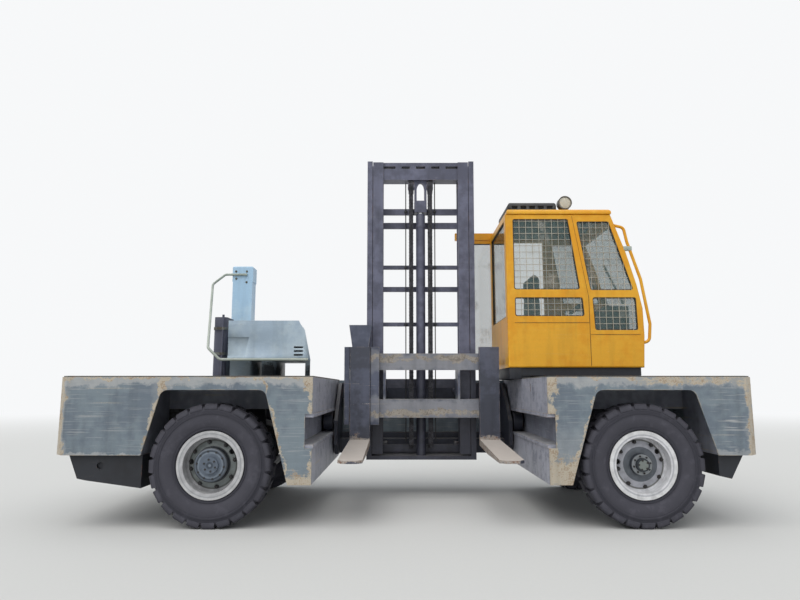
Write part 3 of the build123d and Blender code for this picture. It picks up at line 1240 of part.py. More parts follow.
def deck_rail():
    """Tube loop beside the engine hood, from the stack's near face down to the hood's left face."""
    y0 = STACK_NEAR - RAIL_LOOP_R - SEAT
    y1 = HOOD_FAR - RAIL_LOW_INSET
    top = STACK_TOP - RAIL_TOP_DROP
    out, drop = RAIL_UPPER
    points = [(STACK_X + RAIL_REACH, y0, top), (STACK_X - RAIL_TOP_RUN, y0, top),
              (STACK_X + out, y0 - RAIL_LOOP_R, STACK_TOP - drop)]
    points += [(STACK_X + x, y1, HOOD_BOTTOM + rise) for x, rise in RAIL_LOWER]
    points.append((HOOD_LEFT - SEAT, y1, points[-1][2]))
    return tube(points, RAIL_LOOP_R, RAIL_BEND)


def side_tanks():
    """Tank under the rear overhang at each side, with its sloping floor."""
    x0 = ENGINE_END.low_out + 1 - TANK_LONG
    y0 = -HALF_WIDTH + TANK_INSET
    near = across([(x0 + x, SKIRT_BOTTOM - drop) for x, drop in TANK_FLOOR], y0, y0 + TANK_WIDE)
    hole_x = x0 + TANK_FLOOR[-1][0] - 357
    hole_z = SKIRT_BOTTOM - 91
    near -= bar((hole_x, y0 - 1, hole_z), (hole_x, y0 + TANK_HOLE_DEEP, hole_z), TANK_HOLE_R)
    far = mirror_y(across([(x0 + x, SKIRT_BOTTOM - drop) for x, drop in TANK_FLOOR], y0, y0 + TANK_WIDE))
    return [near, far]


def front_step():
    """Low cross box under the cab end."""
    x0 = CAB_END.over_x
    y0 = HALF_WIDTH - TANK_INSET
    return across([(x0 + x, SKIRT_BOTTOM - drop) for x, drop in STEP_FLOOR], -y0, y0)


def save(name, shape):
    """Write one piece, or several like pieces, as one node."""
    solids = []
    for item in shape if isinstance(shape, list) else [shape]:
        solids += list(item.solids())
    part = solids[0] if len(solids) == 1 else Compound(children=solids)
    export_step(part, f"parts/{name}.step")


os.makedirs("parts", exist_ok=True)

nodes = {
    "rear_skirts": skirts(ENGINE_END),
    "front_skirts": skirts(CAB_END),
    "deck_plates": [deck(ENGINE_END), deck(CAB_END)],
    "rear_frame": end_frame(ENGINE_END),
    "front_frame": end_frame(CAB_END),
    "back_beam": back_beam(),
    "rear_axle": rear_axle(),
    "front_axle": front_axle(),
    "knuckle_near": knuckle(-1),
    "knuckle_far": knuckle(1),
    "reach_carriage": reach_carriage(),
    "tilt_rods": tilt_rods(),
    "outer_mast": lean(outer_mast()),
    "inner_mast": lean(inner_mast()),
    "lift_cylinder": lean(lift_cylinder()),
    "lift_rod": lean(lift_rod()),
    "lift_chains": [lean(chain) for chain in lift_chains()],
    "fork_carriage": lean(fork_carriage()),
    "forks": [lean(fork(x)) for x in (FORK_LEFT_X, FORK_RIGHT_X)],
    "cab_floor": cab_floor(),
    "cab_near_side": cab_near_side(),
    "cab_far_side": cab_far_side(),
    "cab_rear_wall": cab_rear(),
    "cab_front_frame": cab_front(),
    "cab_roof": cab_roof(),
    "cab_glass": cab_glass(),
    "window_guards": window_guards(),
    "cab_door": cab_door(),
    "door_glass": door_glass(),
    "driver_seat": driver_seat(),
    "cab_console": cab_console(),
    "grab_rail": grab_rail(),
    "roof_vent": roof_vent(),
    "work_lamp": work_lamp(),
    "engine_block": engine(),
    "engine_hood": hood(),
    "hood_lid": hood_lid(),
    "air_stack": air_stack(),
    "silencer": silencer(),
    "deck_rail": deck_rail(),
    "side_tanks": side_tanks(),
    "front_step": front_step(),
}
new_tyre = tyre()
for axle, axle_x, hub in (("rear", REAR_AXLE_X, REAR_HUB), ("front", FRONT_AXLE_X, FRONT_HUB)):
    for side, hand in (("near", -1), ("far", 1)):
        nodes[f"tyre_{axle}_{side}"] = place_wheel(new_tyre, axle_x, hand)
        nodes[f"rim_{axle}_{side}"] = place_wheel(rim(hub), axle_x, hand)

for name, shape in nodes.items():
    save(name, shape)
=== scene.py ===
"""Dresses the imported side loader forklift: finishes, tread, chains, nuts, seals, seat and studio."""

import json
import logging
import math
from dataclasses import dataclass, replace
from enum import Enum
from functools import cached_property
from typing import Any, Iterable, Sequence

import bmesh
import bpy
from mathutils import Matrix, Vector

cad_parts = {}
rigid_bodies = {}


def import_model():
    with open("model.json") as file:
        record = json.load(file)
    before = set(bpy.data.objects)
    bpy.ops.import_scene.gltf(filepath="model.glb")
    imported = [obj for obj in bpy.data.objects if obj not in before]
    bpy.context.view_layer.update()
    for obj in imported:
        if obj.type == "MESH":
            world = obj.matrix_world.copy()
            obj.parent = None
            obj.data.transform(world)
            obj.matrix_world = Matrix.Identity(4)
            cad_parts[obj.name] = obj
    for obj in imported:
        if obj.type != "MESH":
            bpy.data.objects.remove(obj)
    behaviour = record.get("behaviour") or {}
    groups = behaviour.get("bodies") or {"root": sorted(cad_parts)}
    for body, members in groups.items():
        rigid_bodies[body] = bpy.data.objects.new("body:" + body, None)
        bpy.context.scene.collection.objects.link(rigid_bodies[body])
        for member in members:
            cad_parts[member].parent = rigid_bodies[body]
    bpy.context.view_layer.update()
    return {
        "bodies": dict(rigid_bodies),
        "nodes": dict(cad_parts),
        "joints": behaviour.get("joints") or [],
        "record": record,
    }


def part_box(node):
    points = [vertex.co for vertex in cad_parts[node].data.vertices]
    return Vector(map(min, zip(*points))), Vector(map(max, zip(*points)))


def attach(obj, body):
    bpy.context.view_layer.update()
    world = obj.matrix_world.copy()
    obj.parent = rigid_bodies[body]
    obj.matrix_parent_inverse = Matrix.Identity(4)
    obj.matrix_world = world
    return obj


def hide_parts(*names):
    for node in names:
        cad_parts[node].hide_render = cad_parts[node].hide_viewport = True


LOG = logging.getLogger("side_loader")
Point = tuple[float, float, float]
Flat = tuple[float, float]
Colour = str | Point
Number = "float | Wire"

# The mast is drawn upright, and LEANED turns it about its foot

MAST_LEAN = math.radians(3.0)
MAST_FOOT = Vector((0.0, 0.69, 0.52))
LEANED = Matrix.Translation(MAST_FOOT) @ Matrix.Rotation(MAST_LEAN, 4, "X") @ Matrix.Translation(-MAST_FOOT)
HANDS = (-1.0, 1.0)
EDGE = 0.003


def rgba(colour: Colour) -> tuple[float, ...]:
    """Linear colour with an alpha of 1.

    Args:
        colour: Six-digit sRGB code, or linear red, green and blue.

    Returns:
        Red, green, blue and alpha.
    """
    if isinstance(colour, str):
        parts = (int(colour[i:i + 2], 16) / 255 for i in (0, 2, 4))
        colour = tuple(v / 12.92 if v <= 0.04045 else ((v + 0.055) / 1.055) ** 2.4 for v in parts)
    return (*colour, 1.0)


class Axis(Enum):
    """Direction of a band of wear, as the normal of its plane."""

    X = (1.0, 0.0, 0.0)
    Y = (0.0, 1.0, 0.0)
    Z = (0.0, 0.0, 1.0)


class Wire:
    """An output socket that takes part in Python arithmetic."""

    def __init__(self, tree: "Tree", socket: bpy.types.NodeSocket) -> None:
        """Wraps a socket of a tree."""
        self.tree = tree
        self.socket = socket

    def _math(self, operation: str, *values: Number) -> "Wire":
        """Adds a Math node on the given values and returns its result."""
        return self.tree.add("ShaderNodeMath", {"operation": operation}, dict(enumerate(values)))

    def __add__(self, other: Number) -> "Wire":
        """Sum."""
        return self._math("ADD", self, other)

    def __radd__(self, other: Number) -> "Wire":
        """Sum, reflected."""
        return self._math("ADD", other, self)

    def __sub__(self, other: Number) -> "Wire":
        """Difference."""
        return self._math("SUBTRACT", self, other)

    def __rsub__(self, other: Number) -> "Wire":
        """Difference, reflected."""
        return self._math("SUBTRACT", other, self)

    def __mul__(self, other: Number) -> "Wire":
        """Product."""
        return self._math("MULTIPLY", self, other)

    def __rmul__(self, other: Number) -> "Wire":
        """Product, reflected."""
        return self._math("MULTIPLY", other, self)

    def __truediv__(self, other: Number) -> "Wire":
        """Quotient."""
        return self._math("DIVIDE", self, other)

    def __pow__(self, other: Number) -> "Wire":
        """Power."""
        return self._math("POWER", self, other)

    def absolute(self) -> "Wire":
        """Value without its sign."""
        return self._math("ABSOLUTE", self)

    def top(self, other: Number) -> "Wire":
        """The larger of two values."""
        return self._math("MAXIMUM", self, other)

    def low(self, other: Number) -> "Wire":
        """The smaller of two values."""
        return self._math("MINIMUM", self, other)


class Tree:
    """A node tree with one method that makes any node."""

    def __init__(self, tree: bpy.types.NodeTree) -> None:
        """Wraps a node tree."""
        self.tree = tree

    def add(self, kind: str, settings: dict[str, Any] | None = None,
            values: dict[Any, Any] | None = None, out: str | int = 0) -> Wire:
        """Makes one node, its settings first and then its sockets.

        Args:
            kind: The node's type.
            settings: Properties of the node; a ramp's stops go under "stops".
            values: Socket name or number to a value or a Wire.
            out: Name or number of the output to return.

        Returns:
            The chosen output, or the node's first input where it has no output.
        """
        node = self.tree.nodes.new(kind)
        for key, value in (settings or {}).items():
            if key == "stops":
                self._stops(node.color_ramp, value)
            else:
                setattr(node, key, value)
        for key, value in (values or {}).items():
            self._feed(node.inputs[key], value)
        return Wire(self, node.outputs[out] if len(node.outputs) else node.inputs[0])

    def _feed(self, socket: bpy.types.NodeSocket, value: Any) -> None:
        """Links a Wire to a socket, or sets the socket's own value.

        Args:
            socket: The input socket.
            value: A Wire or a value.
        """
        if isinstance(value, Wire):
            self.tree.links.new(value.socket, socket)
        elif socket.type == "RGBA":
            socket.default_value = rgba(value)
        else:
            socket.default_value = value

    @staticmethod
    def _stops(ramp: bpy.types.ColorRamp, stops: Sequence[tuple[float, Colour]]) -> None:
        """Sets the stops of a colour ramp.

        Args:
            ramp: The ramp, with its first two stops.
            stops: Place and colour of each stop.
        """
        for element, (place, colour) in zip(ramp.elements, (stops[0], stops[-1])):
            element.position = place
            element.color = rgba(colour)
        for place, colour in stops[1:-1]:
            ramp.elements.new(place).color = rgba(colour)


RAGGED = 0.24


class Finish(Tree):
    """Shader tree of one material, with the patterns that the finishes share."""

    def __init__(self, name: str) -> None:
        """Starts an empty material.

        Args:
            name: Name of the material.
        """
        self.material = bpy.data.materials.new(name)
        self.material.use_nodes = True
        super().__init__(self.material.node_tree)
        self.tree.nodes.clear()
        self.place = self.add("ShaderNodeTexCoord", out="Object")
        self.normal = self.add("ShaderNodeNewGeometry", out="Normal")

    @cached_property
    def ragged(self) -> Wire:
        """Place of the surface, thrown out by noise, which gives the zones their ragged outlines.

        Returns:
            The moved place.
        """
        drift = self.add("ShaderNodeTexNoise", values={
            "Vector": self.place, "Scale": 6.0, "Detail": 6.0, "Roughness": 0.68}, out="Color")
        centred = self.add("ShaderNodeVectorMath", {"operation": "SUBTRACT"}, {0: drift, 1: (0.5, 0.5, 0.5)})
        return self.add("ShaderNodeVectorMath", {"operation": "MULTIPLY_ADD"},
                        {0: centred, 1: (RAGGED, RAGGED, RAGGED), 2: self.place})

    def coordinate(self, axis: str) -> Wire:
        """Object coordinate along one axis, in metres."""
        return self.add("ShaderNodeSeparateXYZ", values={0: self.place}, out=axis)

    def facing(self, axis: str) -> Wire:
        """Part of the surface normal along one axis."""
        return self.add("ShaderNodeSeparateXYZ", values={0: self.normal}, out=axis)

    def radius(self, axle: Flat) -> Wire:
        """Distance from an axle across the truck.

        Args:
            axle: X and Z of the axle.

        Returns:
            The distance, in metres.
        """
        across = self.coordinate("X") - axle[0]
        up = self.coordinate("Z") - axle[1]
        return (across * across + up * up) ** 0.5

    def noise(self, scale: float, detail: float = 4.0, stretch: Point = (1.0, 1.0, 1.0),
              rough: float = 0.55, shift: float = 0.0) -> Wire:
        """Noise value on the object's coordinates.

        Args:
            scale: Waves per metre.
            detail: Octaves.
            stretch: Factor on each coordinate, smaller for longer marks.
            rough: Share of the finer octaves.
            shift: Offset of the pattern.

        Returns:
            Value from 0 to 1 around one half.
        """
        place = self.add("ShaderNodeMapping", values={
            "Vector": self.place, "Scale": stretch, "Location": (shift, shift, shift)})
        return self.add("ShaderNodeTexNoise", {"noise_dimensions": "3D"},
                        {"Vector": place, "Scale": scale, "Detail": detail, "Roughness": rough})

    def step(self, value: Wire, low: float, high: float) -> Wire:
        """Smooth step of a value from 0 at low to 1 at high."""
        return self.add("ShaderNodeMapRange", {"interpolation_type": "SMOOTHSTEP"},
                        {"Value": value, "From Min": low, "From Max": high})

    def between(self, value: Wire, start: float, end: float) -> Wire:
        """Number that runs from start to end as a mask goes from 0 to 1."""
        return value * (end - start) + start

    def mix(self, factor: Number, first: Any, second: Any) -> Wire:
        """Colour between two colours."""
        return self.add("ShaderNodeMix", {"data_type": "RGBA"}, {0: factor, 6: first, 7: second}, out=2)

    def shade(self, colour: Wire, value: Wire) -> Wire:
        """Colour darkened or lifted by a number, as light and dark of the same hue."""
        return self.add("ShaderNodeVectorMath", {"operation": "SCALE"}, {0: colour, "Scale": value})

    def edge(self, radius: float) -> Wire:
        """How near the surface is to an edge, from 0 to 1.

        Args:
            radius: Distance over which an edge is felt, in metres.

        Returns:
            Mask with 1 on the edge.
        """
        rounded = self.add("ShaderNodeBevel", {"samples": 6}, {"Radius": radius})
        turned = self.add("ShaderNodeVectorMath", {"operation": "DOT_PRODUCT"}, {0: rounded, 1: self.normal},
                          out="Value")
        return self.step(1.0 - turned, 0.004, 0.2)

    def band(self, normal: Point, at: float, width: float, strength: float) -> Wire:
        """Mask round a plane.

        Args:
            normal: Unit normal of the plane.
            at: Distance of the plane from the origin, along the normal.
            width: Distance at which the mask has faded; it is full over the nearer half.
            strength: Mask on the plane itself.

        Returns:
            Mask value.
        """
        along = self.add("ShaderNodeVectorMath", {"operation": "DOT_PRODUCT"},
                         {0: self.ragged, 1: normal}, out="Value")
        return ((1.0 - (along - at).absolute() / width) * 2.0).top(0.0).low(1.0) * strength

    def zones(self, zones: "Sequence[Zone]") -> Number:
        """Mask of several zones, each held where all of its bands are.

        Args:
            zones: The zones.

        Returns:
            The highest mask, or 0 where there are no zones.
        """
        mask: Number = 0.0
        for zone in zones:
            held = self.band(*zone[0])
            for band in zone[1:]:
                held = held.low(self.band(*band))
            mask = held if mask == 0.0 else held.top(mask)
        return mask

    def bump(self, height: Wire, depth: float, strength: float = 1.0) -> Wire:
        """Normal of a height pattern, depth in metres."""
        return self.add("ShaderNodeBump", values={"Height": height, "Distance": depth, "Strength": strength})

    def close(self, **sockets: Any) -> bpy.types.Material:
        """Ends the tree in a Principled shader with the given sockets.

        Args:
            **sockets: Socket names with underscores for blanks, to values or wires.

        Returns:
            The finished material.
        """
        values = {name.replace("_", " "): value for name, value in sockets.items()}
        shader = self.add("ShaderNodeBsdfPrincipled", values=values)
        self.add("ShaderNodeOutputMaterial", values={"Surface": shader})
        return self.material


Band = tuple[Point, float, float, float]
Zone = tuple[Band, ...]


def slope(low: Flat, high: Flat, width: float, strength: float) -> Band:
    """Band along a line in X and Z.

    Args:
        low: Lower end of the line.
        high: Upper end of the line.
        width: Distance at which the band has faded.
        strength: Mask on the line itself.

    Returns:
        The band.
    """
    run, rise = high[0] - low[0], high[1] - low[1]
    long = math.hypot(run, rise)
    normal = (rise / long, 0.0, -run / long)
    return normal, low[0] * normal[0] + low[1] * normal[2], width, strength


@dataclass(frozen=True)
class Paint:
    """Painted steel, chalked and dusty, worn through along its edges.

    Attributes:
        name: Name of the material.
        colour: Paint.
        faded: Sun-bleached paint.
        bare: What shows where the paint is gone.
        rust: Rim and specks of the bare places.
        wear: Reach of the wear from the edges.
        reach: Width of the worn rim, in metres.
        scratch: Amount of long scratches.
        grime: Dark runs and stains.
        dust: Pale dust on what looks up.
        settle: Colour of that dust.
        gloss: Roughness of clean paint.
        metal: Metallic part of the bare places.
        wear_zones: Where the wear gathers.
        chalk_and_shade_zones: Where the paint has a second colour: paler chalk on most paints, painted shade
            on the hood.
        chalk_and_shade: That colour.
        line_zones: Where fine level scratches are drawn.
        streak: Depth of the level streaks in the paint.
        shade_below: Heights between which painted shade, darker towards the bottom, fades out into the clean
            paint.
        gone: Scores between which the paint goes over into bare steel.
        thin: Scores between which it starts to wear thin.
    """

    name: str
    colour: Colour
    faded: Colour
    bare: Colour = "a79a86"
    rust: Colour = "7d5334"
    wear: float = 0.6
    reach: float = 0.012
    scratch: float = 0.4
    grime: float = 0.4
    dust: float = 0.35
    settle: Colour = "8f8c86"
    gloss: float = 0.42
    metal: float = 0.0
    wear_zones: tuple[Zone, ...] = ()
    chalk_and_shade_zones: tuple[Zone, ...] = ()
    chalk_and_shade: Colour = "a3a5a6"
    line_zones: tuple[Zone, ...] = ()
    streak: float = 0.04
    shade_below: Flat | None = None
    gone: Flat = (0.44, 0.56)
    thin: Flat = (0.3, 0.46)

    def make(self) -> bpy.types.Material:
        """Builds the material.

        Returns:
            The material.
        """
        f = Finish(self.name)
        broad = f.noise(1.7, 3.0)
        patch = f.noise(11.0, 5.0)
        fine = f.noise(75.0, 4.0, rough=0.7)
        runs = f.noise(9.0, 4.0, (1.0, 1.0, 0.09), shift=3.1)
        cuts = f.noise(7.0, 3.0, (0.13, 0.13, 4.6), shift=7.7)
        level = f.noise(1.0, 3.0, (0.8, 0.8, 42.0), shift=2.2)
        near = f.edge(self.reach)
        gathered = (near * self.wear).top(f.zones(self.wear_zones))
        score = gathered + (patch - 0.5) * 1.5 + (fine - 0.5) * 0.9 + (level - 0.5) * 0.5
        worn = f.step(score, *self.gone)
        rim = f.step(score, *self.thin) - worn
        scratched = f.step(cuts + (fine - 0.5) * 0.25, 0.66, 0.69) * f.step(broad, 0.4, 0.62) * self.scratch
        colour = f.mix(f.step(broad + (patch - 0.5) * 0.7, 0.36, 0.64), self.colour, self.faded)
        # Second colour in its zones: paler chalk on most paints, painted shade on the hood.
        if self.chalk_and_shade_zones:
            chalk_and_shade_mask = (f.zones(self.chalk_and_shade_zones) * f.between(patch, 0.55, 1.35)).low(0.95)
            colour = f.mix(chalk_and_shade_mask, colour, self.chalk_and_shade)
        colour = f.shade(colour, f.between(level, 1.0 - self.streak * 2, 1.0 + self.streak * 2))
        if self.line_zones:
            thin = f.step(f.noise(1.0, 2.0, (3.2, 3.2, 130.0), shift=5.3), 0.6, 0.66)
            colour = f.mix(thin * f.zones(self.line_zones), colour, self.chalk_and_shade)
        colour = f.mix(rim * 0.55, colour, f.mix(0.5, self.faded, self.bare))
        rusty = f.mix(f.step(fine + (patch - 0.5) * 0.8, 0.5, 0.66), self.bare, self.rust)
        colour = f.mix(worn * 0.85, colour, rusty)
        colour = f.mix(scratched, colour, self.bare)
        colour = f.shade(colour, f.between(fine, 0.9, 1.1))
        stained = f.step(runs, 0.46, 0.74) * self.grime
        colour = f.shade(colour, 1.0 - stained * 0.55)
        # Painted shade: the paint is darkened towards the bottom, below these heights, for the shadowed foot
        # of the mast.
        if self.shade_below:
            colour = f.shade(colour, f.between(f.step(f.coordinate("Z"), *self.shade_below), 0.38, 1.0))
        settled = f.step(f.facing("Z") + (patch - 0.5) * 0.5, 0.45, 0.95) * self.dust
        colour = f.mix(settled, colour, self.settle)
        rough = f.between(patch, self.gloss - 0.07, self.gloss + 0.12) + (worn + settled) * 0.25
        height = fine * 0.25 + patch * 0.3 - worn * 0.5 - scratched * 0.3
        sockets: dict[str, Any] = {"Base_Color": colour, "Roughness": rough.low(0.95),
                                   "Normal": f.bump(height, 0.0012, 0.55)}
        if self.metal:
            sockets["Metallic"] = worn * self.metal
        return f.close(**sockets)


@dataclass(frozen=True)
class Rubber:
    """Tyre rubber, pale with road dust in its hollows.

    Attributes:
        name: Name of the material.
        axle: X and Z of the wheel's axle.
        colour: Clean rubber.
        dust: Dust on the wall and beside the lugs.
        scuffed: Rubber of the lugs' worn faces.
    """

    name: str
    axle: Flat
    colour: Colour = "2b2b34"
    dust: Colour = "504f58"
    scuffed: Colour = "56545a"

    def make(self) -> bpy.types.Material:
        """Builds the material round the wheel's axle.

        Returns:
            The material.
        """
        f = Finish(self.name)
        radius = f.radius(self.axle)
        patch = f.noise(14.0, 5.0)
        fine = f.noise(120.0, 3.0, rough=0.7)
        rings = f.add("ShaderNodeMath", {"operation": "SINE"}, {0: radius * 700.0})
        wall = f.step(radius, 0.30, 0.34) * (1.0 - f.step(radius, 0.40, 0.46))
        tread = f.step(radius, 0.495, 0.522)
        dusty = wall * 0.45 + (1.0 - tread) * f.step(radius, 0.45, 0.49) * 0.5
        dusty = dusty * f.between(patch, 0.4, 1.5) + f.step(patch, 0.55, 0.7) * 0.22
        colour = f.mix(dusty.low(0.8), self.colour, self.dust)
        colour = f.mix(tread * f.step(fine, 0.35, 0.7) * 0.3, colour, self.scuffed)
        height = rings * wall * 0.15 + fine * 0.5 + patch * 0.4
        return f.close(Base_Color=colour, Roughness=f.between(patch, 0.72, 0.92),
                       Normal=f.bump(height, 0.0015, 0.5))


@dataclass(frozen=True)
class WheelPaint:
    """Silver rim paint whose rings go from the hub's cap out to the flange.

    Attributes:
        name: Name of the material.
        axle: X and Z of the wheel's axle.
        rings: Radius at which each colour starts, and the colour; the darker rings are painted shade and dirt
            in the rim's recesses.
        reach: Radius at which the colours end.
        soft: Width over which one ring passes into the next.
        chip: Primer and rust where the paint has chipped.
    """

    name: str
    axle: Flat
    rings: tuple[tuple[float, Colour], ...]
    reach: float = 0.32
    soft: float = 0.004
    chip: Colour = "5c4a3d"

    def make(self) -> bpy.types.Material:
        """Builds the material round the wheel's axle.

        Returns:
            The material.
        """
        f = Finish(self.name)
        radius = f.radius(self.axle)
        patch = f.noise(18.0, 5.0)
        fine = f.noise(90.0, 4.0, rough=0.7)
        stops: list[tuple[float, Colour]] = []
        for start, code in self.rings:
            if stops:
                stops.append(((start - self.soft) / self.reach, stops[-1][1]))
            stops.append((start / self.reach, code))
        ring = f.add("ShaderNodeValToRGB", {"stops": stops},
                     {0: (radius + (fine - 0.5) * 0.003) / self.reach}, out="Color")
        colour = f.shade(ring, f.between(f.step(patch, 0.3, 0.7), 0.82, 1.12))
        near = f.edge(0.006)
        chipped = f.step(near * 0.5 + (patch - 0.5) * 1.1 + (fine - 0.5) * 0.7, 0.46, 0.6)
        colour = f.mix(chipped * 0.6, colour, self.chip)
        colour = f.shade(colour, f.between(fine, 0.9, 1.08))
        return f.close(Base_Color=colour, Roughness=f.between(patch, 0.38, 0.62) + chipped * 0.2,
                       Metallic=(1.0 - chipped) * 0.15, Normal=f.bump(fine * 0.3 + patch * 0.4, 0.001, 0.5))


@dataclass(frozen=True)
class Steel:
    """Bare or oiled steel.

    Attributes:
        name: Name of the material.
        colour: Metal.
        dirt: Oil, scale or rust over it.
        cover: Share of the dirt.
        gloss: Roughness of the clean metal.
        metal: Metallic part of the clean metal.
        grain: Factors on the coordinates, for the direction of the marks.
    """

    name: str
    colour: Colour
    dirt: Colour
    cover: float = 0.5
    gloss: float = 0.3
    metal: float = 0.9
    grain: Point = (1.0, 1.0, 1.0)

    def make(self) -> bpy.types.Material:
        """Builds the material.

        Returns:
            The material.
        """
        f = Finish(self.name)
        patch = f.noise(22.0, 5.0)
        fine = f.noise(140.0, 4.0, self.grain, rough=0.7)
        rubbed = f.edge(0.004)
        less = self.cover * 0.4
        soiled = f.step(patch + (fine - 0.5) * 0.5 - rubbed * 0.3, 0.66 - less, 0.8 - less)
        colour = f.shade(f.mix(soiled, self.colour, self.dirt), f.between(fine, 0.85, 1.15))
        return f.close(Base_Color=colour, Roughness=f.between(soiled, self.gloss, 0.75) + (fine - 0.5) * 0.1,
                       Metallic=(1.0 - soiled) * self.metal, Normal=f.bump(fine, 0.0006, 0.5))


@dataclass(frozen=True)
class Plastic:
    """Moulded plastic or rubber trim with a fine grain and a little dust.

    Attributes:
        name: Name of the material.
        colour: Plastic.
        dust: Dust on it and on its rubbed edges.
        rough: Roughness of the clean plastic.
        grain: Cells of its grain per metre.
    """

    name: str
    colour: Colour
    dust: Colour = "6e6a64"
    rough: float = 0.55
    grain: float = 420.0

    def make(self) -> bpy.types.Material:
        """Builds the material.

        Returns:
            The material.
        """
        f = Finish(self.name)
        pebble = f.add("ShaderNodeTexVoronoi", {"feature": "SMOOTH_F1"},
                       {"Vector": f.place, "Scale": self.grain}, out="Distance")
        patch = f.noise(13.0, 4.0)
        rubbed = f.edge(0.003)
        settled = f.step(f.facing("Z") + (patch - 0.5) * 0.6, 0.5, 1.0) * 0.3
        colour = f.mix(f.step(patch, 0.4, 0.75) * 0.25 + settled, self.colour, self.dust)
        colour = f.mix(rubbed * 0.25, colour, self.dust)
        return f.close(Base_Color=colour, Roughness=f.between(patch, self.rough - 0.08, self.rough + 0.12),
                       Normal=f.bump(pebble, 0.0004, 0.6))


@dataclass(frozen=True)
class Glass:
    """Flat tinted glass with a film of dust and wiped streaks.

    Attributes:
        name: Name of the material.
        tint: Colour of the clean glass.
        alpha: How much of the light the clean glass holds back.
        film: Dust.
    """

    name: str
    tint: Colour
    alpha: float
    film: Colour = "b9b7ae"

    def make(self) -> bpy.types.Material:
        """Builds the material.

        Returns:
            The material.
        """
        f = Finish(self.name)
        film = f.noise(6.0, 5.0)
        runs = f.noise(16.0, 3.0, (1.0, 1.0, 0.12))
        dirty = f.step(film + (runs - 0.5) * 0.5, 0.5, 0.85)
        return f.close(Base_Color=f.mix(dirty, self.tint, self.film), Roughness=f.between(dirty, 0.04, 0.35),
                       Alpha=f.between(dirty, self.alpha, self.alpha + 0.22), IOR=1.5,
                       Coat_Weight=f.between(dirty, 1.0, 0.3), Coat_Roughness=0.03)


@dataclass(frozen=True)
class Fabric:
    """Woven seat cloth, faded on top.

    Attributes:
        name: Name of the material.
        colour: Ground of the cloth.
        thread: Its raised threads.
        faded: Cloth where it has faded.
        threads: Threads per metre.
    """

    name: str
    colour: Colour
    thread: Colour
    faded: Colour = "4d4a48"
    threads: float = 90.0

    def make(self) -> bpy.types.Material:
        """Builds the material from two crossing sets of threads.

        Returns:
            The material.
        """
        f = Finish(self.name)
        warp, weft, rise = (
            f.add("ShaderNodeTexWave", {"wave_type": "BANDS", "bands_direction": axis.name},
                  {"Vector": f.place, "Scale": self.threads, "Distortion": 0.6}, out="Fac")
            for axis in Axis)
        weave = warp * weft + rise * 0.5
        patch = f.noise(10.0, 4.0)
        colour = f.mix(f.step(weave, 0.3, 0.9), self.colour, self.thread)
        colour = f.mix(f.step(patch, 0.5, 0.75) * 0.35, colour, self.faded)
        return f.close(Base_Color=colour, Roughness=f.between(patch, 0.82, 0.95), Sheen_Weight=0.3,
                       Normal=f.bump(weave, 0.0008, 0.7))


def placed(name: str, data: Any) -> bpy.types.Object:
    """New object in the scene.

    Args:
        name: Name of the object.
        data: Its mesh, lamp or camera.

    Returns:
        The object.
    """
    made = bpy.data.objects.new(name, data)
    bpy.context.scene.collection.objects.link(made)
    return made


def plain_mesh(carrier: bpy.types.Object) -> bpy.types.Mesh:
    """Result of an object's modifiers; the object is removed.

    Args:
        carrier: The object with its modifiers.

    Returns:
        The result as a plain mesh.
    """
    graph = bpy.context.evaluated_depsgraph_get()
    graph.update()
    made = bpy.data.meshes.new_from_object(carrier.evaluated_get(graph), depsgraph=graph)
    bpy.data.objects.remove(carrier)
    return made


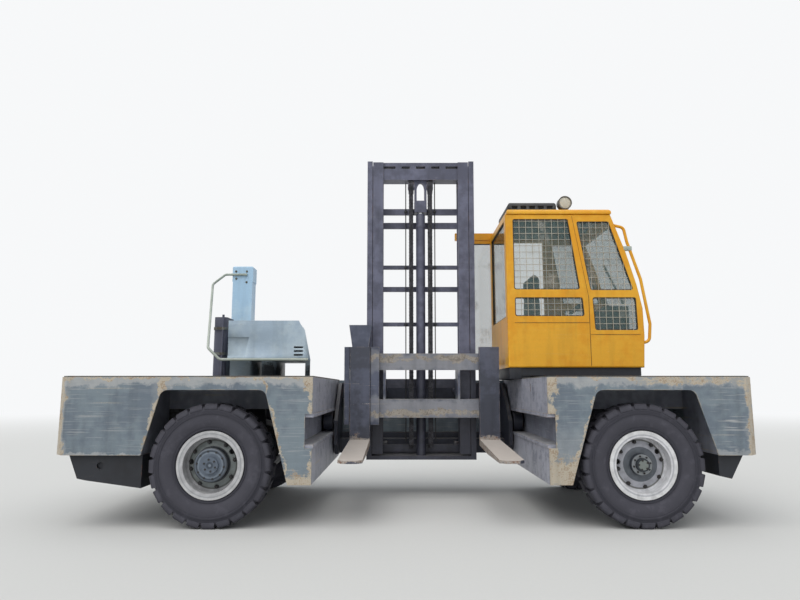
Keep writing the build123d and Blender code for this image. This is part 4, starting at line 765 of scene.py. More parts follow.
class Shape:
    """Mesh of one piece as it is put together, in metres."""

    def __init__(self) -> None:
        """Starts an empty mesh."""
        self.bm = bmesh.new()

    def merge(self, mesh: bpy.types.Mesh, place: Matrix = Matrix.Identity(4)) -> "Shape":
        """Adds a copy of a mesh.

        Args:
            mesh: What to add.
            place: Where it goes.

        Returns:
            This shape.
        """
        copy = mesh.copy()
        copy.transform(place)
        self.bm.from_mesh(copy)
        bpy.data.meshes.remove(copy)
        return self

    def mesh(self, name: str = "shape") -> bpy.types.Mesh:
        """Gathers the faces and frees the working data.

        Args:
            name: Name of the mesh.

        Returns:
            The shape as a plain mesh, its doubles merged and its faces turned outwards.
        """
        made = bpy.data.meshes.new(name)
        bmesh.ops.remove_doubles(self.bm, verts=self.bm.verts, dist=1e-6)
        bmesh.ops.recalc_face_normals(self.bm, faces=self.bm.faces)
        self.bm.to_mesh(made)
        self.bm.free()
        return made

    def box(self, low: Point, high: Point, soft: float = 0.0, steps: int = 2,
            place: Matrix = Matrix.Identity(4)) -> "Shape":
        """Adds a box between two corners with rounded edges.

        Args:
            low: Lowest corner.
            high: Highest corner.
            soft: Radius of the edges.
            steps: Segments of each rounded edge.
            place: Where the box goes.

        Returns:
            This shape.
        """
        bm = bmesh.new()
        bmesh.ops.create_cube(bm, size=1.0)
        size = Matrix.Diagonal((*(h - l for l, h in zip(low, high)), 1.0))
        middle = Matrix.Translation([(l + h) / 2 for l, h in zip(low, high)])
        bm.transform(middle @ size)
        if soft:
            bmesh.ops.bevel(bm, geom=bm.edges[:], offset=soft, segments=steps, affect="EDGES", profile=0.5)
        return self._take(bm, place)

    def lathe(self, profile: Sequence[Flat], place: Matrix, steps: int = 48) -> "Shape":
        """Adds a closed profile turned about Z.

        Args:
            profile: Radius and height of each corner; the line closes by itself.
            place: Where the turned shape goes.
            steps: Faces round the axis.

        Returns:
            This shape.
        """
        bm = bmesh.new()
        rings = []
        for radius, height in profile:
            if radius < 1e-6:
                rings.append([bm.verts.new((0.0, 0.0, height))] * steps)
                continue
            turns = [math.tau * i / steps for i in range(steps)]
            places = [(radius * math.cos(t), radius * math.sin(t), height) for t in turns]
            rings.append([bm.verts.new(corner) for corner in places])
        for first, second in zip(rings, rings[1:] + rings[:1]):
            for i in range(steps):
                after = (i + 1) % steps
                corners = dict.fromkeys((first[i], first[after], second[after], second[i]))
                if len(corners) > 2:
                    bm.faces.new(list(corners))
        return self._take(bm, place)

    def _take(self, bm: bmesh.types.BMesh, place: Matrix) -> "Shape":
        """Moves a working mesh to its place and adds it.

        Args:
            bm: The working mesh, which is freed.
            place: Where it goes.

        Returns:
            This shape.
        """
        bmesh.ops.recalc_face_normals(bm, faces=bm.faces)
        bm.transform(place)
        made = bpy.data.meshes.new("part")
        bm.to_mesh(made)
        bm.free()
        self.bm.from_mesh(made)
        bpy.data.meshes.remove(made)
        return self


class Pattern(Tree):
    """Geometry tree that repeats or draws out a shape, with named inputs."""

    def __init__(self, name: str, **inputs: str) -> None:
        """Starts a tree that takes and gives a geometry.

        Args:
            name: Name of the tree.
            **inputs: Name of each further input, to its kind of socket.
        """
        group = bpy.data.node_groups.new(name, "GeometryNodeTree")
        super().__init__(group)
        self.ids: dict[str, str] = {}
        for label, kind in {"Geometry": "Geometry", **inputs, "Material": "Material"}.items():
            socket = group.interface.new_socket(label, in_out="INPUT", socket_type=f"NodeSocket{kind}")
            self.ids[label] = socket.identifier
        group.interface.new_socket("Geometry", in_out="OUTPUT", socket_type="NodeSocketGeometry")
        self.source = group.nodes.new("NodeGroupInput")
        self.target = group.nodes.new("NodeGroupOutput")

    def given(self, label: str) -> Wire:
        """The value of a named input."""
        return Wire(self, self.source.outputs[label])

    def line(self) -> Wire:
        """The given edges as a curve."""
        return self.add("GeometryNodeMeshToCurve", values={0: self.given("Geometry")})

    def close(self, geometry: Wire) -> None:
        """Ends the tree: instances become real and take the material.

        Args:
            geometry: What the tree has made.
        """
        real = self.add("GeometryNodeRealizeInstances", values={0: geometry})
        dressed = self.add("GeometryNodeSetMaterial",
                           values={"Geometry": real, "Material": self.given("Material")})
        self.tree.links.new(dressed.socket, self.target.inputs[0])

    def run(self, mesh: bpy.types.Mesh, **inputs: Any) -> bpy.types.Mesh:
        """Applies the tree to a mesh.

        Args:
            mesh: What the tree starts from.
            **inputs: Values of the named inputs.

        Returns:
            The result as a plain mesh.
        """
        carrier = placed("carrier", mesh)
        modifier = carrier.modifiers.new("pattern", "NODES")
        modifier.node_group = self.tree
        for label, value in inputs.items():
            modifier[self.ids[label]] = value
        carrier.update_tag()
        return plain_mesh(carrier)


class Ring(Pattern):
    """Copies of a shape round the Z axis."""

    def __init__(self) -> None:
        """Builds the tree: Count copies at Radius, turned by Start."""
        super().__init__("ring", Count="Int", Radius="Float", Start="Float")
        circle = self.add("GeometryNodeMeshCircle",
                          values={"Vertices": self.given("Count"), "Radius": self.given("Radius")})
        turn = self.add("GeometryNodeInputIndex") * math.tau / self.given("Count")
        copies = self.add("GeometryNodeInstanceOnPoints", values={
            "Points": circle, "Instance": self.given("Geometry"),
            "Rotation": self.add("ShaderNodeCombineXYZ", values={"Z": turn})})
        start = self.add("ShaderNodeCombineXYZ", values={"Z": self.given("Start")})
        self.close(self.add("GeometryNodeTransform", values={"Geometry": copies, "Rotation": start}))


class Sweep(Pattern):
    """A round or flat bar drawn along a line of edges, with rounded corners."""

    def __init__(self) -> None:
        """Builds the tree: corners of radius Bend, section Wide by Deep, round when Round is set."""
        super().__init__("sweep", Bend="Float", Wide="Float", Deep="Float", Round="Bool")
        bent = self.add("GeometryNodeFilletCurve", {"mode": "POLY"}, {
            "Curve": self.line(), "Count": 6, "Radius": self.given("Bend"), "Limit Radius": True})
        flat = self.add("GeometryNodeCurvePrimitiveQuadrilateral",
                        values={"Width": self.given("Wide"), "Height": self.given("Deep")})
        circle = self.add("GeometryNodeCurvePrimitiveCircle",
                          values={"Resolution": 12, "Radius": self.given("Wide") * 0.5})
        section = self.add("GeometryNodeSwitch", {"input_type": "GEOMETRY"},
                           {"Switch": self.given("Round"), "False": flat, "True": circle})
        self.close(self.add("GeometryNodeCurveToMesh",
                            values={"Curve": bent, "Profile Curve": section, "Fill Caps": True}))


class Links(Pattern):
    """Copies of a link at even steps along a line of edges."""

    def __init__(self) -> None:
        """Builds the tree: a Link every Step, its Z along the line."""
        super().__init__("links", Link="Object", Step="Float")
        points = self.add("GeometryNodeCurveToPoints", {"mode": "LENGTH"},
                          {"Curve": self.line(), "Length": self.given("Step")})
        tangent = Wire(self, points.socket.node.outputs["Tangent"])
        turned = self.add("FunctionNodeAlignRotationToVector", {"axis": "Z", "pivot_axis": "X"},
                          {"Vector": tangent})
        link = self.add("GeometryNodeObjectInfo", values={"Object": self.given("Link")}, out="Geometry")
        self.close(self.add("GeometryNodeInstanceOnPoints",
                            values={"Points": points, "Instance": link, "Rotation": turned}))


def line_mesh(points: Sequence[Point], closed: bool = False) -> bpy.types.Mesh:
    """Edges along the given points.

    Args:
        points: Corners of the line.
        closed: Whether the last corner joins the first.

    Returns:
        A mesh of edges.
    """
    mesh = bpy.data.meshes.new("line")
    edges = [(i, i + 1) for i in range(len(points) - 1)]
    if closed:
        edges.append((len(points) - 1, 0))
    mesh.from_pydata([tuple(p) for p in points], edges, [])
    return mesh


def rectangle(low: Flat, high: Flat) -> list[Flat]:
    """Corners of a rectangle, in order round it."""
    return [low, (high[0], low[1]), high, (low[0], high[1])]


def drawn_in(outline: Sequence[Flat], inset: float) -> list[Flat]:
    """An outline of four corners, made smaller.

    Args:
        outline: The corners.
        inset: How far each corner moves in, along both axes.

    Returns:
        The moved corners.
    """
    middle = [sum(corner[axis] for corner in outline) / len(outline) for axis in (0, 1)]
    return [(a + math.copysign(inset, middle[0] - a), b + math.copysign(inset, middle[1] - b))
            for a, b in outline]


def frame_at(origin: Point, out: Point, side: Point) -> Matrix:
    """Placement on a face.

    Args:
        origin: Where it is.
        out: Direction of its Z.
        side: Direction of its X.

    Returns:
        The placement.
    """
    z = Vector(out).normalized()
    x = Vector(side).normalized()
    y = z.cross(x)
    return Matrix.Translation(origin) @ Matrix((x, y, z)).transposed().to_4x4()


def along_x(origin: Point) -> Matrix:
    """Placement whose Z runs along the truck."""
    return frame_at(origin, (1.0, 0.0, 0.0), (0.0, 1.0, 0.0))


def towards_load(origin: Point) -> Matrix:
    """Placement whose Z looks out over the load side."""
    return frame_at(origin, (0.0, -1.0, 0.0), (1.0, 0.0, 0.0))


class Workshop:
    """Makes finished pieces and remembers the materials and the repeating patterns."""

    def __init__(self, frame: dict[str, Any]) -> None:
        """Takes the loaded frame and builds the patterns.
        """
        self.frame = frame
        self.finishes: dict[str, bpy.types.Material] = {}
        self.ring = Ring()
        self.sweep = Sweep()
        self.links = Links()

    def finish(self, finish: Any) -> bpy.types.Material:
        """The material of a finish, made once.

        Args:
            finish: The finish.

        Returns:
            Its material.
        """
        if finish.name not in self.finishes:
            self.finishes[finish.name] = finish.make()
        return self.finishes[finish.name]

    def dress(self, finish: Any, *nodes: str) -> None:
        """Gives CAD nodes a finish.

        Args:
            finish: The finish.
            *nodes: The nodes.
        """
        material = self.finish(finish)
        for node in nodes:
            for slot in self.frame["nodes"][node].material_slots:
                slot.material = material
        LOG.info("%s on %s", finish.name, ", ".join(nodes))

    def piece(self, name: str, shape: Shape | bpy.types.Mesh, finish: Any, body: str,
              replaces: Iterable[str] = (), smooth: float = 40.0) -> bpy.types.Object:
        """Puts a finished piece in the scene on its body.

        Args:
            name: Name of the piece.
            shape: Its mesh, in the frame's place.
            finish: Its finish.
            body: CAD body that it rides on.
            replaces: CAD nodes that it stands for.
            smooth: Largest angle between smoothly shaded faces, in degrees.

        Returns:
            The object.
        """
        mesh = shape.mesh(name) if isinstance(shape, Shape) else shape
        mesh.materials.clear()
        mesh.materials.append(self.finish(finish))
        mesh.shade_smooth()
        mesh.set_sharp_from_angle(angle=math.radians(smooth))
        made = placed(name, mesh)
        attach(made, body)
        if replaces:
            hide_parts(*replaces)
        LOG.info("%s: %d faces on %s", name, len(mesh.polygons), body)
        return made

    def copy_of(self, node: str) -> bpy.types.Mesh:
        """Copy of a CAD node's mesh with its doubles merged, in the frame's place.

        Args:
            node: The CAD node.

        Returns:
            The copy.
        """
        source = self.frame["nodes"][node]
        mesh = source.data.copy()
        mesh.transform(source.matrix_world)
        welded = bmesh.new()
        welded.from_mesh(mesh)
        bmesh.ops.remove_doubles(welded, verts=welded.verts, dist=1e-5)
        welded.to_mesh(mesh)
        welded.free()
        return mesh

    def bar(self, points: Sequence[Point], wide: float, bend: float = 0.02, deep: float = 0.0,
            closed: bool = False) -> bpy.types.Mesh:
        """A bar along points: round, or flat where deep is given."""
        line = line_mesh(points, closed)
        return self.sweep.run(line, Bend=bend, Wide=wide, Deep=deep or wide, Round=not deep)


# Places on the truck that the zones of wear are measured from

DECK_Z = 1.275
TOP_Z = 1.25
LEG_Z = 0.367
SKIRT_Z = 0.613
ARCH_Z = 1.163
REAR_WELL_X = -0.808
FRONT_WELL_X = 1.216
SIDE_Y = 1.2
REAR_ARCH = ((-2.263, -2.115), (-1.009, -1.219))
FRONT_ARCH = ((1.405, 1.643), (2.655, 2.487))


def level(at: float, width: float, strength: float = 1.0) -> Band:
    """Band round a height."""
    return Axis.Z.value, at, width, strength


def beside(at: float, width: float, strength: float = 1.0) -> Band:
    """Band round a place along the truck."""
    return Axis.X.value, at, width, strength


def flank(at: float, width: float, strength: float = 1.0) -> Band:
    """Band round a place across the truck."""
    return Axis.Y.value, at, width, strength


def leaned(at: float, width: float, strength: float = 1.0) -> Band:
    """Band round a height measured along the leaned mast."""
    normal = (0.0, -math.sin(MAST_LEAN), math.cos(MAST_LEAN))
    return normal, at + MAST_FOOT.dot(Vector(normal)) - MAST_FOOT.z, width, strength


def leg(arch: Sequence[Flat], index: int, foot: float, width: float, strength: float) -> Band:
    """Band along one slanted edge of a wheel arch, whose foot is at the given height."""
    low, high = arch[index]
    return slope((low, foot), (high, ARCH_Z), width, strength)


# Finishes of the truck

REAR_SKIRT = Paint(
    "rear skirt paint", "66717c", "76828a", bare="bcb09c", rust="9c8468", wear=0.5,
    reach=0.018, scratch=0.35, grime=0.3, streak=0.05,
    wear_zones=(
        (level(DECK_Z, 0.022, 0.7),),
        (beside(-3.005, 0.075, 0.72), flank(-SIDE_Y, 0.24)),
        (beside(-3.005, 0.075, 0.72), flank(SIDE_Y, 0.24)),
        (beside(REAR_WELL_X, 0.03, 0.66),),
        (leg(REAR_ARCH, 0, SKIRT_Z, 0.042, 0.85), beside(-2.15, 0.14)),
        (leg(REAR_ARCH, 1, LEG_Z, 0.02, 0.6), beside(-1.05, 0.25)),
        (level(0.36, 0.14, 0.78), beside(-0.9, 0.3)),
        (beside(-0.83, 0.07, 0.75), level(TOP_Z, 0.12)),
    ),
    chalk_and_shade_zones=(
        (level(TOP_Z, 0.062),),
        (beside(-3.0, 0.09, 0.6), flank(-SIDE_Y, 0.3)),
        (level(SKIRT_Z, 0.02, 0.8), beside(-2.6, 0.9)),
        (beside(-2.115, 0.1, 0.35), level(0.8, 0.5)),
    ),
    line_zones=((beside(-2.7, 0.55, 0.55),), (beside(-0.95, 0.2, 0.5),)))
FRONT_SKIRT = replace(
    REAR_SKIRT, name="front skirt paint",
    wear_zones=(
        (level(DECK_Z, 0.022, 0.6),),
        (level(1.235, 0.035, 0.6), beside(2.5, 0.65)),
        (beside(2.975, 0.085, 0.72), flank(-SIDE_Y, 0.24)),
        (beside(2.975, 0.085, 0.72), flank(SIDE_Y, 0.24)),
        (beside(FRONT_WELL_X, 0.09, 0.7),),
        (level(0.40, 0.26, 0.74), beside(1.35, 0.35)),
        (beside(1.25, 0.1, 0.76), level(1.22, 0.12)),
        (leg(FRONT_ARCH, 0, LEG_Z, 0.018, 0.6), beside(1.4, 0.3)),
    ),
    chalk_and_shade_zones=(
        (level(TOP_Z, 0.066, 0.9),),
        (beside(2.99, 0.1, 0.6), flank(-SIDE_Y, 0.3)),
        (level(0.63, 0.035, 0.6), beside(2.8, 0.4)),
        (level(0.55, 0.35, 0.35), beside(1.3, 0.3)),
    ),
    line_zones=((beside(2.84, 0.26),), (beside(1.35, 0.4, 0.35),)))
BEAM = replace(REAR_SKIRT, name="beam paint", scratch=0.5, grime=0.4, wear_zones=(), chalk_and_shade_zones=(),
               line_zones=((level(0.95, 0.4, 0.6),),))
FRAME_STEEL = Paint(
    "frame paint", "7d808c", "979aa7", bare="aba295", wear=0.55, reach=0.012, scratch=0.7,
    dust=0.5, gloss=0.5, chalk_and_shade="a4a5b0",
    chalk_and_shade_zones=((beside(REAR_WELL_X, 0.02),), (beside(FRONT_WELL_X, 0.02),)),
    line_zones=((beside(REAR_WELL_X, 0.3, 0.7),), (beside(FRONT_WELL_X, 0.3, 0.7),)))
DECK = Paint(
    "deck paint", "3f4547", "5b5f5f", bare="857c70", wear=0.6, scratch=0.9, grime=0.5,
    dust=0.5, gloss=0.55)
# Nearly black: painted shade for the axles, tanks, step, cab floor and plates under the deck and inside the
# arches.
UNDERSIDE_SHADE = Paint(
    "underside paint", "181a21", "20232a", bare="3f3c3a", wear=0.3, grime=0.5, dust=0.2,
    gloss=0.55)
# The mast paint carries painted shade towards the bottom, below 0.95 to 1.6 m.
MAST = Paint(
    "mast paint", "505263", "686a7e", bare="85858c", wear=0.5, reach=0.008, scratch=0.4,
    grime=0.45, dust=0.3, gloss=0.42, shade_below=(0.95, 1.6))
# A darker copy of the mast paint: painted shade for the reach carriage, low in the mast's shadow.
REACH_SHADE = Paint(
    "reach carriage paint", "2a2d3a", "363946", bare="5f5a58", wear=0.5, reach=0.01,
    scratch=0.4, grime=0.5, dust=0.3, gloss=0.5)
BAR_SPAN = beside(0.245, 0.78)
CARRIAGE = Paint(
    "carriage paint", "454a5b", "5b6072", bare="aba294", rust="7f756a", wear=0.45,
    reach=0.012, scratch=0.5, grime=0.4, gloss=0.45, chalk_and_shade="8f9096",
    chalk_and_shade_zones=((leaned(1.49, 0.14), BAR_SPAN), (leaned(0.9875, 0.15), BAR_SPAN)),
    wear_zones=((leaned(1.53, 0.05, 0.55), BAR_SPAN), (leaned(0.94, 0.05, 0.58), BAR_SPAN)))
FORK = Paint(
    "fork paint", "40434f", "565a6b", bare="b3aaa0", wear=0.5, reach=0.012, scratch=0.9,
    grime=0.4, dust=0.95, settle="b9b1aa", gloss=0.42, wear_zones=((level(0.6, 0.1, 0.7),),))
CAB = Paint(
    "cab paint", "df9a0e", "e5a823", bare="d9b878", rust="b98a4a", wear=0.42,
    reach=0.007, scratch=0.12, grime=0.25, dust=0.12, gloss=0.34, streak=0.02)
# Darker amber: painted shade in the panel joints.
SEAM_SHADE = Paint(
    "seam paint", "8d5f12", "7a5416", bare="6b5230", wear=0.2, reach=0.003, gloss=0.6)
# The hood's second colour is near black: painted shade along its lower part, in the recess and over the gap
# below it.
HOOD = Paint(
    "hood paint", "a2b4c4", "b3c3ce", bare="dfe4e6", rust="8b8f8e", wear=0.4,
    reach=0.007, scratch=0.2, grime=0.3, dust=0.2, gloss=0.4, streak=0.02, chalk_and_shade="202228",
    chalk_and_shade_zones=((level(1.35, 0.11), beside(-1.2, 0.55)),))
STACK = Paint(
    "stack paint", "a9c9e2", "b8d3e6", bare="dfe6ea", rust="9aa0a2", wear=0.35,
    reach=0.006, scratch=0.15, grime=0.25, dust=0.15, gloss=0.4, streak=0.02)
RAIL = Paint(
    "rail paint", "9fa99f", "aeb5ac", bare="6f6a60", wear=0.4, reach=0.004, gloss=0.42)
SILENCER = Paint(
    "silencer paint", "3d3e4c", "525464", bare="6e6662", wear=0.45, reach=0.01, grime=0.5,
    gloss=0.5)
WIRE = Paint(
    "guard wire", "a8a193", "bcb5a6", bare="6b6052", wear=0.2, reach=0.002, gloss=0.5)
ENGINE = Steel("engine castings", "55575a", "2c2b2b", cover=0.7, gloss=0.5, metal=0.4)
BRIGHT = Steel("polished rod", "c9cbcc", "7a7670", cover=0.1, gloss=0.16, metal=1.0,
               grain=(1.0, 1.0, 0.1))
CHAIN = Steel("oiled chain", "5a5a60", "2c2b2e", cover=0.7, gloss=0.35, metal=0.8)
NUT = Steel("wheel nuts", "3b3b3d", "2c2826", cover=0.6, gloss=0.45, metal=0.5)
DRUM = Steel("brake drums", "2d2d30", "221f1e", cover=0.7, gloss=0.6, metal=0.3)
BOLT = Steel("bolts", "70736f", "4b443c", cover=0.55, gloss=0.4, metal=0.7)
REFLECTOR = Steel("lamp reflector", "d8d2c2", "a79f8c", cover=0.2, gloss=0.15, metal=1.0)
RUBBER_TRIM = Plastic("rubber trim", "1d1d1f", rough=0.62)
DARK_TRIM = Plastic("dark trim", "26272a")
HEADLINER = Plastic("headliner", "2a2523", grain=260.0, rough=0.8)
LAMP_SHELL = Plastic("lamp shell", "5b5750")
LAMP_GLASS = Glass("lamp lens", "e8e2cf", 0.55)
CAB_GLASS = Glass("cab glass", "54716f", 0.32)
SEAT_CLOTH = Fabric("seat cloth", "232427", "3a3b40")


@dataclass
class Studio:
    """Camera at the photograph's place, pale floor and soft light.

    Attributes:
        camera: Place of the camera.
        lens: Focal length, in millimetres.
        sensor: Width of the sensor, in millimetres.
        pitch: Upward tilt of the camera, in degrees.
        horizon: Line of the horizon in the picture, in pixels from the top.
        picture: Width and height of the picture, in pixels.
        reach: Farthest distance that the camera draws.
        floor: Half the floor's width, and its depth.
        fade: Distances between which the floor passes into the background.
        white: Colour of the background.
        sky: Colour of the light from the sky.
        dim: Strength of the sky as a light.
        warm: Colour of the suns.
        suns: Name, turn in degrees, energy and angle in degrees of each soft sun.
    """

    camera: Point = (-0.055, -6.60, 1.175)
    lens: float = 27.9
    sensor: float = 36.0
    pitch: float = 8.13
    horizon: float = 388.6
    picture: Flat = (800.0, 600.0)
    reach: float = 400.0
    floor: Flat = (90.0, 0.02)
    fade: Flat = (9.0, 30.0)
    white: Colour = (0.93, 0.94, 0.95)
    sky: Colour = (0.92, 0.96, 1.0)
    dim: float = 0.62
    warm: Colour = (1.0, 0.985, 0.96)
    suns: tuple[tuple[str, Point, float, float], ...] = (
        ("sky light", (38.0, -8.0, -24.0), 1.35, 60.0),
        ("high light", (12.0, 0.0, 0.0), 0.7, 90.0),
    )

    def build(self) -> None:
        """Makes the camera, the floor, the sky and the suns."""
        self._camera()
        self._floor()
        self._sky()
        self._suns()
        bpy.context.scene.view_settings.view_transform = "Standard"

    def _camera(self) -> None:
        """Places the camera and sets its small upward shift."""
        data = bpy.data.cameras.new("camera")
        data.lens = self.lens
        data.sensor_width = self.sensor
        data.clip_end = self.reach
        focal = self.lens / self.sensor * self.picture[0]
        axis = self.horizon - focal * math.tan(math.radians(self.pitch))
        data.shift_y = (axis - self.picture[1] / 2) / self.picture[0]
        camera = placed("camera", data)
        camera.location = self.camera
        camera.rotation_euler = (math.radians(90.0 + self.pitch), 0.0, 0.0)
        bpy.context.scene.camera = camera

    def _floor(self) -> None:
        """Pale floor that fades into the background far from the truck."""
        f = Finish("studio floor")
        away = f.add("ShaderNodeVectorMath", {"operation": "LENGTH"}, {0: f.place}, out="Value")
        pale = f.mix(f.noise(40.0, 3.0), "c9c9c7", "cdcdcb")
        lit = f.add("ShaderNodeBsdfPrincipled", values={"Base Color": pale, "Roughness": 0.85})
        plain = f.add("ShaderNodeEmission", values={"Color": self.white, "Strength": 1.0})
        seen = f.add("ShaderNodeLightPath", out="Is Camera Ray")
        factor = f.step(away, *self.fade) * seen
        shader = f.add("ShaderNodeMixShader", values={0: factor, 1: lit, 2: plain})
        f.add("ShaderNodeOutputMaterial", values={"Surface": shader})
        half, depth = self.floor
        mesh = Shape().box((-half, -half, -depth), (half, half, 0.0)).mesh("floor")
        mesh.materials.append(f.material)
        placed("floor", mesh)

    def _sky(self) -> None:
        """Overcast sky, paler where it is looked at than where it lights the truck."""
        world = bpy.data.worlds.new("overcast")
        world.use_nodes = True
        world.node_tree.nodes.clear()
        tree = Tree(world.node_tree)
        path = tree.add("ShaderNodeLightPath", out="Is Camera Ray")
        seen = path
        for ray in ("Is Glossy Ray", "Is Transmission Ray"):
            seen = seen.top(Wire(tree, path.socket.node.outputs[ray]))
        colour = tree.add("ShaderNodeMix", {"data_type": "RGBA"},
                          {0: seen, 6: self.sky, 7: self.white}, out=2)
        strength = seen * (1.0 - self.dim) + self.dim
        back = tree.add("ShaderNodeBackground", values={"Color": colour, "Strength": strength})
        tree.add("ShaderNodeOutputWorld", values={"Surface": back})
        bpy.context.scene.world = world

    def _suns(self) -> None:
        """Broad soft suns, one from the front left and one from above."""
        for name, turn, energy, angle in self.suns:
            lamp = bpy.data.lights.new(name, "SUN")
            lamp.energy = energy
            lamp.angle = math.radians(angle)
            lamp.color = self.warm
            placed(name, lamp).rotation_euler = [math.radians(a) for a in turn]


@dataclass(frozen=True)
class Hub:
    """What differs between the driven and the steered wheels.

    Attributes:
        rings: Radius at which each colour of the rim starts, and the colour; the darker rings are painted
            shade and dirt in its recesses.
        seat: How far the nuts stand out from the wheel's middle.
        screws: Radius, distance out and number of each ring of hub screws.
    """

    rings: tuple[tuple[float, Colour], ...]
    seat: float
    screws: tuple[tuple[float, float, int], ...]


# The darker rings round the hub and at 0.2 m, inside the flange, are painted shade and dirt in the rim's
# recesses.
DRIVEN_HUB = Hub(
    ((0.0, "7d8894"), (0.014, "3e4753"), (0.032, "5d6774"), (0.1, "747e8a"), (0.114, "3a424c"),
     (0.126, "5a626c"), (0.14, "2f343a"), (0.158, "7f8584"), (0.2, "5f615f"), (0.214, "b2b2b4"),
     (0.262, "9c9da0"), (0.272, "bababb")),
    0.0165, ((0.117, 0.1035, 10), (0.05, 0.123, 6)))
# The darker rings round the cap and hub and at 0.2 m, inside the flange, are painted shade and dirt in the
# rim's recesses.
STEERED_HUB = Hub(
    ((0.0, "7e8581"), (0.044, "2f353b"), (0.06, "85898c"), (0.09, "3c4148"), (0.098, "5a5f66"),
     (0.15, "a6a7ae"), (0.2, "70716f"), (0.214, "d4d4d7"), (0.25, "b2b3b8"), (0.262, "d6d6d7")),
    0.0115, ((0.073, 0.0735, 8), (0.04, 0.1075, 5)))


class End(Enum):
    """End of the truck at which a wheel stands: its name and the X of its axle."""

    REAR = ("rear", -1.68)
    FRONT = ("front", 2.03)


class Side(Enum):
    """Side of the truck at which a wheel stands: its name and its sign along Y."""

    NEAR = ("near", -1.0)
    FAR = ("far", 1.0)


